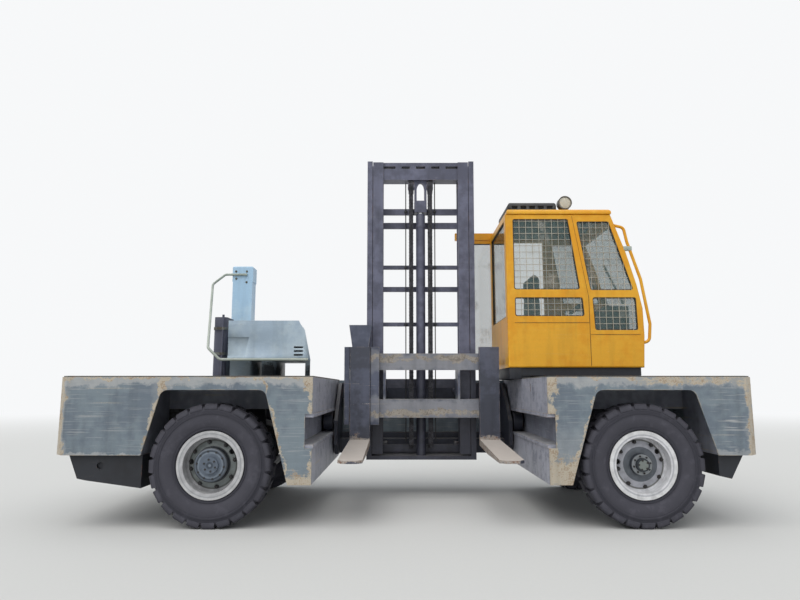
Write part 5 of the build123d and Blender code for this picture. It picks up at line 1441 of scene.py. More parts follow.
@dataclass
class Wheel:
    """One wheel: tyre with shoulder lugs, brake drum, nuts and hub screws round the rim.

    Attributes:
        end: End of the truck.
        side: Side of the truck.
        track: Distance of the wheel's middle from the truck's middle.
        outer: Radius of the tyre, which is also the height of the axle.
        half: Half the tyre's width.
        tread: Height of the lugs above the carcass.
        shoulder: Drop below the carcass's crown and distance from the side, of each shoulder corner.
        wall: Radius and distance from the side, of each corner of the sidewall.
        lugs: Lugs in each of the two rows.
        lug_half: Half a lug's length round the tyre.
        slant: How far a lug leans round the tyre, as a share of its width.
        crown: Depth below the tyre's radius down to which a lug counts as worn face.
        crown_taper: Length of that face, as a share of the lug's length.
        drum: Radius and distance out, of each corner of the brake drum.
        nut: Radius and height of each corner of a nut on its washer.
        stud: The same for the stud in it.
        nuts: Number of nuts, radius of their ring and its turn in degrees.
        screw: Radius and height of each corner of a hub screw.
        screw_turn: Turn of the rings of screws, in radians.
    """

    end: End
    side: Side
    track: float = 1.04
    outer: float = 0.525
    half: float = 0.14
    tread: float = 0.024
    shoulder: tuple[Flat, ...] = ((0.0, 0.036), (0.016, 0.014), (0.034, 0.006))
    wall: tuple[Flat, ...] = (
        (0.449, 0.004), (0.446, 0.0), (0.434, 0.0), (0.431, 0.004), (0.400, 0.001), (0.372, 0.003),
        (0.345, 0.012), (0.318, 0.026), (0.314, 0.022), (0.303, 0.023), (0.298, 0.032), (0.291, 0.038),
        (0.2905, 0.052), (0.262, 0.052))
    lugs: int = 24
    lug_half: float = 0.055
    slant: float = 0.12
    crown: float = 0.004
    crown_taper: float = 0.88
    drum: tuple[Flat, ...] = (
        (0.145, -0.03), (0.208, -0.03), (0.212, -0.036), (0.212, -0.062), (0.145, -0.062))
    nut: tuple[Flat, ...] = (
        (0.0, 0.0), (0.021, 0.0), (0.021, 0.004), (0.0165, 0.004), (0.0165, 0.021), (0.014, 0.0235),
        (0.0, 0.0235))
    stud: tuple[Flat, ...] = ((0.0, 0.02), (0.009, 0.02), (0.009, 0.034), (0.0, 0.034))
    nuts: tuple[int, float, float] = (8, 0.192, 11.5)
    screw: tuple[Flat, ...] = ((0.0, 0.0), (0.009, 0.0), (0.009, 0.008), (0.0, 0.009))
    screw_turn: float = 0.2

    @property
    def name(self) -> str:
        """End and side, as in the node names."""
        return f"{self.end.value[0]}_{self.side.value[0]}"

    @property
    def hub(self) -> Hub:
        """The driven hub at the rear, the steered one at the front."""
        return DRIVEN_HUB if self.end is End.REAR else STEERED_HUB

    @property
    def out(self) -> Matrix:
        """Placement with Z along the axle, away from the truck."""
        hand = self.side.value[1]
        return frame_at((self.end.value[1], hand * self.track, self.outer), (0.0, hand, 0.0), (0.0, 0.0, 1.0))

    def build(self, shop: Workshop) -> None:
        """Makes the tyre and the fasteners, and paints the rim.

        Args:
            shop: The workshop.
        """
        end, x = self.end.value
        axle = (x, self.outer)
        body = f"wheel_{self.name}"
        shop.piece(f"tread_{self.name}", self._tyre(shop), Rubber(f"rubber {end}", axle), body,
                   [f"tyre_{self.name}"], 32.0)
        shop.dress(WheelPaint(f"rim paint {end}", axle, self.hub.rings), f"rim_{self.name}")
        drum = Shape().lathe(self.drum, self.out, 48)
        shop.piece(f"brake_drum_{self.name}", drum, DRUM, body)
        shop.piece(f"wheel_nuts_{self.name}", self._nuts(shop), NUT, body)

    def _tyre(self, shop: Workshop) -> bpy.types.Mesh:
        """Carcass with sidewall rings, and two rows of lugs.

        Args:
            shop: The workshop.

        Returns:
            The tyre's mesh.
        """
        base = self.outer - self.tread
        half = self.half
        side = [(base - drop, half - inward) for drop, inward in self.shoulder]
        side += [(radius, half - inward) for radius, inward in self.wall]
        profile = [(r, -w) for r, w in reversed(side)] + side
        shape = Shape().lathe(profile, self.out, 96)
        outline = [(base - 0.01, 0.016), (self.outer, 0.016), (self.outer, half - 0.022),
                   (self.outer - 0.012, half - 0.010), (base - 0.028, half - 0.002),
                   (base - 0.036, half - 0.012)]
        for hand in (1.0, -1.0):
            start = 0.0 if hand > 0 else math.tau / self.lugs / 2
            ring = shop.ring.run(self._lug(outline, hand), Count=self.lugs, Radius=1e-4, Start=start)
            shape.merge(ring, self.out)
        return shape.mesh("tyre")

    def _lug(self, outline: Sequence[Flat], hand: float) -> bpy.types.Mesh:
        """One lug, its outline in radius and width drawn out round the tyre.

        Args:
            outline: Radius and width of each corner.
            hand: 1 for the outer shoulder, -1 for the inner one.

        Returns:
            The lug as a mesh.
        """
        bm = bmesh.new()
        face = bm.faces.new([bm.verts.new((r, -self.lug_half, w * hand)) for r, w in outline])
        moved = bmesh.ops.extrude_face_region(bm, geom=[face])["geom"]
        for vert in (item for item in moved if isinstance(item, bmesh.types.BMVert)):
            vert.co.y = self.lug_half
        for vert in bm.verts:
            worn = vert.co.x > self.outer - self.crown
            spread = self.crown_taper if worn else 1.0
            vert.co.y = vert.co.y * spread + (abs(vert.co.z) - self.half / 2) * self.slant
            if worn:
                vert.co.x = math.sqrt(max(vert.co.x**2 - vert.co.y**2, 0.0))
        bmesh.ops.recalc_face_normals(bm, faces=bm.faces)
        bmesh.ops.bevel(bm, geom=bm.edges[:], offset=EDGE, segments=1, affect="EDGES")
        mesh = bpy.data.meshes.new("lug")
        bm.to_mesh(mesh)
        bm.free()
        return mesh

    def _nuts(self, shop: Workshop) -> bpy.types.Mesh:
        """Wheel nuts on their studs, and the screws of the hub's cap.

        Args:
            shop: The workshop.

        Returns:
            The fasteners as one mesh.
        """
        shape = Shape()
        nut = Shape().lathe(self.nut, Matrix.Identity(4), 6).lathe(self.stud, Matrix.Identity(4), 10)
        count, radius, turn = self.nuts
        ring = shop.ring.run(nut.mesh(), Count=count, Radius=radius, Start=math.radians(turn))
        shape.merge(ring, self.out @ Matrix.Translation((0.0, 0.0, self.hub.seat)))
        screw = Shape().lathe(self.screw, Matrix.Identity(4), 6).mesh()
        for radius, height, count in self.hub.screws:
            ring = shop.ring.run(screw, Count=count, Radius=radius, Start=self.screw_turn)
            shape.merge(ring, self.out @ Matrix.Translation((0.0, 0.0, height)))
        return shape.mesh("nuts")


@dataclass
class Frame:
    """Deck ends, well walls and what hangs below them.

    Attributes:
        web: Corners of the dark plate below the far beam of the front deck.
    """

    web: tuple[Point, Point] = ((2.14, 0.494, 0.86), (2.64, 0.506, 0.99))

    def build(self, shop: Workshop) -> None:
        """Dresses the frame and adds the plate.

        Args:
            shop: The workshop.
        """
        shop.dress(REAR_SKIRT, "rear_skirts")
        shop.dress(FRONT_SKIRT, "front_skirts")
        shop.dress(DECK, "deck_plates")
        shop.dress(FRAME_STEEL, "rear_frame", "front_frame")
        shop.dress(BEAM, "back_beam")
        shop.dress(UNDERSIDE_SHADE, "rear_axle", "front_axle", "knuckle_near", "knuckle_far", "side_tanks",
                   "front_step")
        shop.piece("beam_web", Shape().box(*self.web, EDGE), UNDERSIDE_SHADE, "chassis")


@dataclass
class Mast:
    """Two mast stages with leaf chains over sheaves. Heights are measured before the lean.

    Attributes:
        middle: X of the mast's middle.
        chain_x: Distance of each chain from it.
        wide: Width of a chain.
        pitch: Pitch of its links.
        plates: Plates side by side in a link.
        sheave: Middle of the sheaves' axle.
        crosshead: Height of the crosshead's lower face.
        radius: Radius at which the chain runs round a sheave.
        near_foot: Height at which the near run of a chain ends.
        far_foot: The same for its far run.
        cylinder: Y and height of the lift cylinder's head.
        gland: Radius and height of each corner of the gland on it.
        pipe: Distance of each pipe from the middle, its Y and its radius.
        pipe_ends: Heights of a pipe's ends.
        clip: Half the width and the height of a clip that holds it.
        clip_heights: Heights of the clips.
    """

    middle: float = 0.18
    chain_x: float = 0.108
    wide: float = 0.046
    pitch: float = 0.0381
    plates: int = 7
    sheave: Point = (0.0, 0.448, 3.48)
    crosshead: float = 3.562
    radius: float = 0.068
    near_foot: float = 0.60
    far_foot: float = 0.56
    cylinder: Flat = (0.455, 3.018)
    gland: tuple[Flat, ...] = (
        (0.0378, 0.0), (0.056, 0.0), (0.056, 0.03), (0.052, 0.036), (0.052, 0.146), (0.047, 0.154),
        (0.0378, 0.154))
    pipe: Point = (0.168, 0.538, 0.006)
    pipe_ends: Flat = (0.60, 3.57)
    clip: Flat = (0.018, 0.012)
    clip_heights: tuple[float, ...] = (1.912, 2.57, 3.222)

    def build(self, shop: Workshop) -> None:
        """Dresses the mast, replaces the chains and adds the fittings.

        Args:
            shop: The workshop.
        """
        shop.dress(MAST, "outer_mast", "inner_mast", "lift_cylinder")
        shop.dress(REACH_SHADE, "reach_carriage")
        shop.dress(BRIGHT, "lift_rod", "tilt_rods")
        shop.piece("leaf_chains", self._chains(shop), CHAIN, "inner_mast", ["lift_chains"])
        shop.piece("chain_sheaves", self._sheaves(), MAST, "inner_mast")
        shop.piece("gland_nut", self._gland(), MAST, "outer_mast")
        shop.piece("mast_pipes", self._pipes(shop), DARK_TRIM, "inner_mast")

    def _chains(self, shop: Workshop) -> bpy.types.Mesh:
        """Leaf chains from their foot, over the sheave and down again.

        Args:
            shop: The workshop.

        Returns:
            Both chains as one mesh.
        """
        carrier = placed("link", self._link())
        shape = Shape()
        _, y, z = self.sheave
        for hand in HANDS:
            x = self.middle + hand * self.chain_x
            points = [(x, y - self.radius, self.near_foot), (x, y - self.radius, z)]
            points += [(x, y - self.radius * math.cos(a), z + self.radius * math.sin(a))
                       for a in (math.pi * i / 12 for i in range(1, 12))]
            points += [(x, y + self.radius, z), (x, y + self.radius, self.far_foot)]
            shape.merge(shop.links.run(line_mesh(points), Link=carrier, Step=self.pitch), LEANED)
        bpy.data.objects.remove(carrier)
        return shape.mesh("chains")

    def _link(self) -> bpy.types.Mesh:
        """One pitch of leaf chain: plates side by side on a pin.

        Returns:
            The link, its Z along the chain.
        """
        shape = Shape()
        thick = self.wide / (self.plates + 0.6) * 0.46
        deep, long = 0.0095, self.pitch * 0.66
        for i in range(self.plates):
            x = -self.wide / 2 + (i + 0.5) * self.wide / self.plates
            rise = 0.0 if i % 2 else self.pitch / 2
            shape.box((x - thick, -deep, rise - long), (x + thick, deep, rise + long), 0.0017, 1)
        end = self.wide / 2 + 0.002
        shape.lathe([(0.0, -end), (0.0042, -end), (0.0042, end), (0.0, end)], along_x((0.0, 0.0, 0.0)), 8)
        return shape.mesh("link")

    def _sheaves(self) -> Shape:
        """Grooved sheaves with their pins and hangers.

        Returns:
            The shape of all.
        """
        shape = Shape()
        _, y, z = self.sheave
        w = self.wide / 2
        r = self.radius - 0.0096
        flange = r + 0.014
        groove = [(0.014, -w - 0.006), (flange, -w - 0.006), (flange, -w - 0.003), (r, -w - 0.001),
                  (r, w + 0.001), (flange, w + 0.003), (flange, w + 0.006), (0.014, w + 0.006)]
        pin = [(0.0, -w - 0.014), (0.015, -w - 0.014), (0.015, w + 0.014), (0.0, w + 0.014)]
        for hand in HANDS:
            x = self.middle + hand * self.chain_x
            place = LEANED @ along_x((x, y, z))
            shape.lathe(groove, place, 32).lathe(pin, place, 16)
            for side in HANDS:
                inner = x + side * (w + 0.007)
                outer = inner + side * 0.006
                shape.box((min(inner, outer), y - 0.022, z - 0.024),
                          (max(inner, outer), y + 0.022, self.crosshead), EDGE, place=LEANED)
        return shape

    def _gland(self) -> Shape:
        """Long gland at the top of the lift cylinder."""
        return Shape().lathe(self.gland, LEANED @ Matrix.Translation((self.middle, *self.cylinder)), 32)

    def _pipes(self, shop: Workshop) -> Shape:
        """Two steel pipes up the inner mast, clipped to its bars.

        Args:
            shop: The workshop.

        Returns:
            The shape of both.
        """
        shape = Shape()
        x, y, radius = self.pipe
        wide, high = self.clip
        for hand in HANDS:
            at = self.middle + hand * x
            shape.merge(shop.bar([(at, y, z) for z in self.pipe_ends], radius * 2), LEANED)
            for z in self.clip_heights:
                shape.box((at - wide, y - 0.009, z - high), (at + wide, y + 0.0095, z + high), EDGE,
                          place=LEANED)
        return shape


@dataclass
class ForkCarriage:
    """Fork carriage and forks."""

    def build(self, shop: Workshop) -> None:
        """Dresses the carriage and the forks."""
        shop.dress(CARRIAGE, "fork_carriage")
        shop.dress(FORK, "forks")


@dataclass
class Cab:
    """Cab with seals, lining, seat and fittings. Outlines are measured from its lower rear corner.

    Attributes:
        rear: X of the wall towards the mast.
        low: Height of the walls' lower edge.
        high: Height of the roof's lower face.
        near: Y of the near side.
        far: Y of the far side.
        wall: Thickness of the walls.
        middle: Y of the cab's middle.
        rear_windows: Outlines of the windows that only the near side has.
        front_windows: Outlines of the windows that both sides have.
        rear_pane: Margins of the rear wall's window at its sides, below and above.
        seal: Width and depth of a window's seal.
        seal_off: Distance of a seal from the pane's middle.
        seal_in: How far a seal lies inside the opening's edge.
        corner: Radius of the windows' corners.
        door_corner: Radius of the corners of the door's pane.
        seams: Lines of the panel joints, drawn as darker strips of painted shade.
        bead: Width of a joint, radius of its corners and its depth.
        lining: Margin of the headliner, and its X end from the rear wall.
        lining_drop: Depth of its lower and upper face below the roof.
        panel: Margins of its centre panel along X and Y.
        clamp: X ends of the rail's clamp, and its height.
        clamp_half: Depth of the clamp, and half its height.
        vent_shift: X and Y by which the roof vent's form is drawn out.
        vent_rise: Factor on its height.
        lamp_shift: Move of the work lamp.
        dish: Radius and depth of each corner of the lamp's reflector.
        bulb: The same for the bulb's cap.
        dome: The same for the lens.
        apron: Lowest corner of the dark plate below the floor, which stands in for the shade in the gap
            there.
        apron_size: Size of that plate.
        levers: Number of control levers.
        lever: Radius and height of each corner of a lever.
        lever_foot: Place of the first lever from the rear wall, the middle and the lower edge.
        lever_step: Distance between levers.
        lever_lean: Lean of the first lever and the step to the next, in degrees.
        wiper: Foot and elbow of the wiper's arm, and both ends of its blade.
        arm: Diameter of the arm.
        blade: Width of the blade, radius of its corners and its depth.
        pivot: Radius and height of each corner of the arm's pivot.
        handle: Place of the door's handle from its front edge, its drop below the middle and its length.
        handle_out: How far the handle stands out.
        grip: Diameter of the handle and radius of its bends.
        pan: Height of the seat's pan above the walls' lower edge, and of the cushion above the pan.
        seat_in: Margin of the cushions inside the seat's box.
        seat_x: X in that box at which the cushion starts and the backrest ends.
    """

    rear: float = 1.08
    low: float = 1.393
    high: float = 3.043
    near: float = -0.1
    far: float = 1.05
    wall: float = 0.04
    middle: float = 0.475
    rear_windows: tuple[tuple[Flat, ...], ...] = (
        ((0.078, 0.825), (0.779, 0.825), (0.674, 1.594), (0.078, 1.594)),
        ((0.082, 0.540), (0.815, 0.540), (0.801, 0.740), (0.082, 0.740)),
    )
    front_windows: tuple[tuple[Flat, ...], ...] = (
        ((0.888, 0.818), (1.345, 0.818), (1.112, 1.567), (0.764, 1.567)),
        ((0.921, 0.392), (1.373, 0.392), (1.366, 0.740), (0.904, 0.740)),
    )
    rear_pane: Point = (0.1, 0.54, 0.056)
    seal: Flat = (0.011, 0.009)
    seal_off: float = 0.0075
    seal_in: float = 0.005
    corner: float = 0.022
    door_corner: float = 0.012
    seams: tuple[tuple[Flat, ...], ...] = (
        ((0.716, 1.628), (0.835, 0.92), (0.865, 0.74), (0.865, 0.012)),
        ((0.075, 0.470), (0.860, 0.470)),
        ((0.870, 0.345), (1.392, 0.345)),
    )
    bead: Point = (0.006, 0.03, 0.003)
    lining: Flat = (0.05, 1.08)
    lining_drop: Flat = (0.022, 0.002)
    panel: Flat = (0.12, 0.14)
    clamp: Point = (2.338, 2.432, 2.665)
    clamp_half: Flat = (0.042, 0.024)
    vent_shift: Flat = (-0.0765, -0.345)
    vent_rise: float = 1.6
    lamp_shift: Point = (-0.056, -0.17, 0.008)
    dish: tuple[Flat, ...] = (
        (0.0, -0.045), (0.02, -0.044), (0.042, -0.034), (0.058, -0.018), (0.062, -0.009), (0.060, -0.009),
        (0.056, -0.020), (0.040, -0.037), (0.019, -0.047), (0.0, -0.049))
    bulb: tuple[Flat, ...] = ((0.0, -0.046), (0.012, -0.046), (0.012, -0.026), (0.007, -0.02), (0.0, -0.018))
    dome: tuple[Flat, ...] = (
        (0.0, -0.0005), (0.03, -0.0015), (0.05, -0.004), (0.062, -0.0075), (0.062, -0.0088), (0.049, -0.007),
        (0.03, -0.0045), (0.0, -0.0035))
    apron: Point = (1.088, -0.085, 1.275)
    apron_size: Point = (0.125, 0.9, 0.12)
    levers: int = 4
    lever: tuple[Flat, ...] = (
        (0.0, 0.0), (0.018, 0.0), (0.012, 0.022), (0.005, 0.03), (0.005, 0.15), (0.013, 0.158),
        (0.016, 0.172), (0.012, 0.186), (0.0, 0.19))
    lever_foot: Point = (1.15, -0.33, 0.66)
    lever_step: float = 0.055
    lever_lean: Flat = (-14.0, 3.0)
    wiper: tuple[Point, ...] = (
        (2.51, 0.475, 2.16), (2.425, 0.60, 2.45), (2.485, 0.50, 2.24), (2.37, 0.66, 2.63))
    arm: float = 0.012
    blade: Point = (0.014, 0.0, 0.02)
    pivot: tuple[Flat, ...] = ((0.0, -0.01), (0.022, -0.01), (0.022, 0.008), (0.014, 0.014), (0.0, 0.014))
    handle: Point = (0.022, 0.08, 0.19)
    handle_out: float = 0.038
    grip: Flat = (0.016, 0.018)
    pan: Flat = (0.407, 0.12)
    seat_in: float = 0.02
    seat_x: Flat = (0.115, 0.10)
    fill: float = 0.7

    def build(self, shop: Workshop) -> None:
        """Dresses the cab and adds its trim and fittings.

        Args:
            shop: The workshop.
        """
        shop.dress(CAB, "cab_near_side", "cab_far_side", "cab_rear_wall", "cab_front_frame", "cab_roof",
                   "cab_door", "grab_rail")
        shop.dress(CAB_GLASS, "cab_glass", "door_glass")
        shop.dress(WIRE, "window_guards")
        shop.dress(UNDERSIDE_SHADE, "cab_floor")
        shop.dress(DARK_TRIM, "cab_console")
        shop.piece("vent_housing", self._vent(shop), DARK_TRIM, "chassis", ["roof_vent"])
        shop.piece("lamp_body", self._lamp(shop), LAMP_SHELL, "chassis", ["work_lamp"])
        # The apron is a dark plate that stands in for the shade in the gap under the cab floor.
        shop.piece("floor_apron", self._apron(), UNDERSIDE_SHADE, "chassis")
        shop.piece("window_seals", self._seals(shop), RUBBER_TRIM, "chassis")
        shop.piece("door_seal", self._door_seal(shop), RUBBER_TRIM, "cab_door")
        shop.piece("headliner", self._headliner(), HEADLINER, "chassis")
        shop.piece("cab_seams", self._seams(shop), SEAM_SHADE, "chassis")
        shop.piece("rail_clamp", self._clamp(), RAIL, "chassis")
        shop.piece("control_levers", self._levers(), DARK_TRIM, "chassis")
        shop.piece("wiper", self._wiper(shop), RUBBER_TRIM, "chassis")
        shop.piece("door_handle", self._handle(shop), DARK_TRIM, "cab_door")
        shop.piece("lamp_reflector", self._reflector(), REFLECTOR, "chassis")
        shop.piece("lamp_lens", self._lens(), LAMP_GLASS, "chassis")
        self._seat(shop)

    def _vent(self, shop: Workshop) -> bpy.types.Mesh:
        """Roof vent, its near half drawn out to the roof's edge.

        Args:
            shop: The workshop.

        Returns:
            The vent's mesh.
        """
        mesh = shop.copy_of("roof_vent")
        low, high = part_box("roof_vent")
        for vertex in mesh.vertices:
            vertex.co.x += self.vent_shift[0]
            vertex.co.z = low.z + (vertex.co.z - low.z) * self.vent_rise
            if vertex.co.y < (low.y + high.y) / 2:
                vertex.co.y += self.vent_shift[1]
        return mesh

    def _lamp(self, shop: Workshop) -> bpy.types.Mesh:
        """Work lamp, nearer to the roof's edge.

        Args:
            shop: The workshop.

        Returns:
            The lamp's mesh.
        """
        mesh = shop.copy_of("work_lamp")
        mesh.transform(Matrix.Translation(self.lamp_shift))
        return mesh

    def _apron(self) -> Shape:
        """Dark plate that closes the gap below the floor, over the well, and stands in for the shade seen
        there.
        """
        far = tuple(a + b for a, b in zip(self.apron, self.apron_size))
        return Shape().box(self.apron, far, 0.004)

    def _seals(self, shop: Workshop) -> bpy.types.Mesh:
        """Rubber seals round the fixed panes, inside and outside.

        Args:
            shop: The workshop.

        Returns:
            The seals as one mesh.
        """
        shape = Shape()
        near, far = self.near + self.wall / 2, self.far - self.wall / 2
        panes = [(outline, (near,)) for outline in self.rear_windows]
        panes += [(outline, (near, far)) for outline in self.front_windows]
        for outline, walls in panes:
            ring = drawn_in([(self.rear + x, self.low + z) for x, z in outline], self.seal_in)
            for y in walls:
                for side in HANDS:
                    points = [(x, y + side * self.seal_off, z) for x, z in ring]
                    self._add_seal(shop, shape, points, self.corner)
        margin, sill, head = self.rear_pane
        low, high = (self.near + margin, self.low + sill), (self.far - margin, self.high - head)
        ring = drawn_in(rectangle(low, high), self.seal_in)
        for side in HANDS:
            x = self.rear + self.wall / 2 + side * self.seal_off
            self._add_seal(shop, shape, [(x, y, z) for y, z in ring], self.corner)
        return shape.mesh("seals")

    def _add_seal(self, shop: Workshop, shape: Shape, points: Sequence[Point], corner: float) -> None:
        """Adds a flat seal along the given corners to a shape."""
        shape.merge(shop.bar(points, self.seal[0], corner, self.seal[1], True))

    def _door_seal(self, shop: Workshop) -> bpy.types.Mesh:
        """Rubber seal round the sliding door's pane.

        Args:
            shop: The workshop.

        Returns:
            The seals of both faces as one mesh.
        """
        low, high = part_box("door_glass")
        y = (low.y + high.y) / 2
        ring = drawn_in(rectangle((low.x, low.z), (high.x, high.z)), self.seal_in)
        shape = Shape()
        for side in HANDS:
            points = [(x, y + side * self.seal_off, z) for x, z in ring]
            self._add_seal(shop, shape, points, self.door_corner)
        return shape.mesh("door_seal")

    def _headliner(self) -> Shape:
        """Dark lining under the roof, with rounded edges and a shallow centre panel.

        Returns:
            The lining's shape.
        """
        margin, end = self.lining
        low = (self.rear + margin, self.near + margin, self.high - self.lining_drop[0])
        high = (self.rear + end, self.far - margin, self.high - self.lining_drop[1])
        dx, dy = self.panel
        return Shape().box(low, high, 0.008).box(
            (low[0] + dx, low[1] + dy, low[2] - 0.012), (high[0] - dx, high[1] - dy, low[2] + 0.004), 0.007)

    def _seams(self, shop: Workshop) -> Shape:
        """Darker strips along the joints between the panels of the near side: painted shade in the grooves.

        Args:
            shop: The workshop.

        Returns:
            The seams' shape.
        """
        shape = Shape()
        for line in self.seams:
            points = [(self.rear + x, self.near, self.low + z) for x, z in line]
            shape.merge(shop.bar(points, *self.bead))
        return shape

    def _clamp(self) -> Shape:
        """Clamp between the grab rail and the windscreen frame, with its bolt.

        Returns:
            The clamp's shape.
        """
        x0, x1, z = self.clamp
        deep, half = self.clamp_half
        shape = Shape().box((x0, self.near, z - half), (x1, self.near + deep, z + half), 0.008, 3)
        head = [(0.0, -0.002), (0.011, -0.002), (0.011, 0.006), (0.0, 0.007)]
        return shape.lathe(head, towards_load(((x0 + x1) / 2, self.near, z)), 6)

    def _levers(self) -> Shape:
        """Row of hydraulic levers with round knobs on the console.

        Returns:
            The levers' shape.
        """
        shape = Shape()
        x, y, z = self.lever_foot
        start, step = self.lever_lean
        for i in range(self.levers):
            foot = (self.rear + x, self.middle + y + self.lever_step * i, self.low + z)
            lean = Matrix.Rotation(math.radians(start + step * i), 4, "Y")
            shape.lathe(self.lever, Matrix.Translation(foot) @ lean, 16)
        return shape

    def _wiper(self, shop: Workshop) -> Shape:
        """Wiper arm and blade that lie on the windscreen.

        Args:
            shop: The workshop.

        Returns:
            The wiper's shape.
        """
        foot, elbow, low, high = self.wiper
        shape = Shape().merge(shop.bar((foot, elbow), self.arm)).merge(shop.bar((low, high), *self.blade))
        return shape.lathe(self.pivot, frame_at(foot, (1.0, 0.0, 0.3), (0.0, 1.0, 0.0)), 20)

    def _handle(self, shop: Workshop) -> Shape:
        """Bow handle on the outside of the sliding door.

        Args:
            shop: The workshop.

        Returns:
            The handle's shape.
        """
        low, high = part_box("cab_door")
        inward, drop, long = self.handle
        x = high.x - inward
        z = (low.z + high.z) / 2 - drop
        face, out = high.y - 0.002, high.y + self.handle_out
        bow = [(x, face, z), (x, out, z), (x, out, z + long), (x, face, z + long)]
        return Shape().merge(shop.bar(bow, *self.grip))

    def _lamp_place(self) -> Matrix:
        """Placement on the lamp's front face, looking at the load.

        Returns:
            The placement.
        """
        low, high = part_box("work_lamp")
        face = Vector(((low.x + high.x) / 2, low.y, high.z - (high.x - low.x) / 2)) + Vector(self.lamp_shift)
        return towards_load(tuple(face))

    def _reflector(self) -> Shape:
        """Dish inside the lamp with the bulb's cap in the middle."""
        return Shape().lathe(self.dish, self._lamp_place(), 40).lathe(self.bulb, self._lamp_place(), 20)

    def _lens(self) -> Shape:
        """Slightly domed lens behind the lamp's bezel."""
        return Shape().lathe(self.dome, self._lamp_place(), 40)

    def _seat(self, shop: Workshop) -> None:
        """Padded cushion and backrest.

        Args:
            shop: The workshop.
        """
        low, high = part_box("driver_seat")
        split = self.low + self.pan[0] + self.pan[1]
        inset = self.seat_in
        start, end = self.seat_x
        cushion = ((low.x + start, low.y + inset, self.low + 0.41),
                   (high.x - inset, high.y - inset, split - 0.02))
        back = ((low.x + inset, low.y + inset, split + 0.01),
                (low.x + end, high.y - inset, high.z - inset))
        for name, (a, b), face in (("seat_cushion", cushion, Face.TOP), ("seat_back", back, Face.FRONT)):
            made = shop.piece(name, Pad(name, a, b, face).mesh(), SEAT_CLOTH, "chassis",
                              ["driver_seat"], 80.0)


class Face(Enum):
    """Crowned face of a cushion: the axis that it looks along, and the one along its seams."""

    TOP = (2, 0)
    FRONT = (0, 2)


@dataclass
class Pad:
    """A crowned cushion, swollen by a short cloth simulation.

    Attributes:
        name: Name of the cushion.
        low: Lowest corner of its space.
        high: Highest corner of its space.
        face: Which face is crowned.
        soft: Radius of its edges before it swells.
        voxel: Size of the remeshed faces.
        pressure: Pressure that swells it.
        frames: Frames of the simulation.
        cap: Farthest that a point may move, in metres.
        skin: Depth below the crowned face down to which the seams are felt.
        seam_half: Half the width of a seam's hollow.
        seam_deep: Its depth.
        seam_long: Half its length.
        share: Width of the cushion over the distance from its middle to a seam.
    """

    name: str
    low: Point
    high: Point
    face: Face
    soft: float = 0.035
    voxel: float = 0.009
    pressure: float = 4.0
    frames: int = 20
    cap: float = 0.022
    skin: float = 0.05
    seam_half: float = 0.022
    seam_deep: float = 0.011
    seam_long: float = 0.19
    share: float = 3.4

    def mesh(self) -> bpy.types.Mesh:
        """The cushion as a plain mesh.

        Returns:
            The mesh, swollen by the cloth simulation.
        """
        carrier = placed("pad", Shape().box(self.low, self.high, self.soft, 4).mesh(self.name))
        remesh = carrier.modifiers.new("even", "REMESH")
        remesh.mode = "VOXEL"
        remesh.voxel_size = self.voxel
        made = plain_mesh(carrier)
        made = self._swell(made)
        carrier = placed("pad", self._sewn(made))
        carrier.modifiers.new("smooth", "SUBSURF").levels = 1
        return plain_mesh(carrier)

    def _swell(self, mesh: bpy.types.Mesh) -> bpy.types.Mesh:
        """Blows the mesh up a little with cloth pressure and caps how far it moves.

        Args:
            mesh: The cushion before.

        Returns:
            The swollen cushion.
        """
        rest = [v.co.copy() for v in mesh.vertices]
        carrier = placed("pad", mesh)
        cloth = carrier.modifiers.new("cloth", "CLOTH")
        cloth.settings.use_pressure = True
        cloth.settings.uniform_pressure_force = self.pressure
        cloth.settings.effector_weights.gravity = 0.0
        cloth.point_cache.frame_end = self.frames
        scene = bpy.context.scene
        for number in range(1, self.frames + 1):
            scene.frame_set(number)
        made = plain_mesh(carrier)
        for vert, start in zip(made.vertices, rest):
            moved = vert.co - start
            if moved.length > self.cap:
                vert.co = start + moved.normalized() * self.cap
        scene.frame_set(1)
        return made

    def _sewn(self, mesh: bpy.types.Mesh) -> bpy.types.Mesh:
        """Presses two seams across the crowned face and smooths the whole.

        Args:
            mesh: The cushion, which is changed.

        Returns:
            The same mesh.
        """
        crowned, along = self.face.value
        across = 1
        middle = [(a + b) / 2 for a, b in zip(self.low, self.high)]
        aside = (self.high[across] - self.low[across]) / self.share
        for vert in mesh.vertices:
            co = vert.co
            if self.high[crowned] - co[crowned] >= self.skin:
                continue
            for line in (middle[across] - aside, middle[across] + aside):
                near = abs(co[across] - line)
                if near < self.seam_half and abs(co[along] - middle[along]) < self.seam_long:
                    co[crowned] -= self.seam_deep * (1 - near / self.seam_half) ** 2
        bm = bmesh.new()
        bm.from_mesh(mesh)
        bmesh.ops.smooth_vert(bm, verts=bm.verts, factor=0.5, use_axis_x=True, use_axis_y=True,
                              use_axis_z=True)
        bm.to_mesh(mesh)
        bm.free()
        return mesh


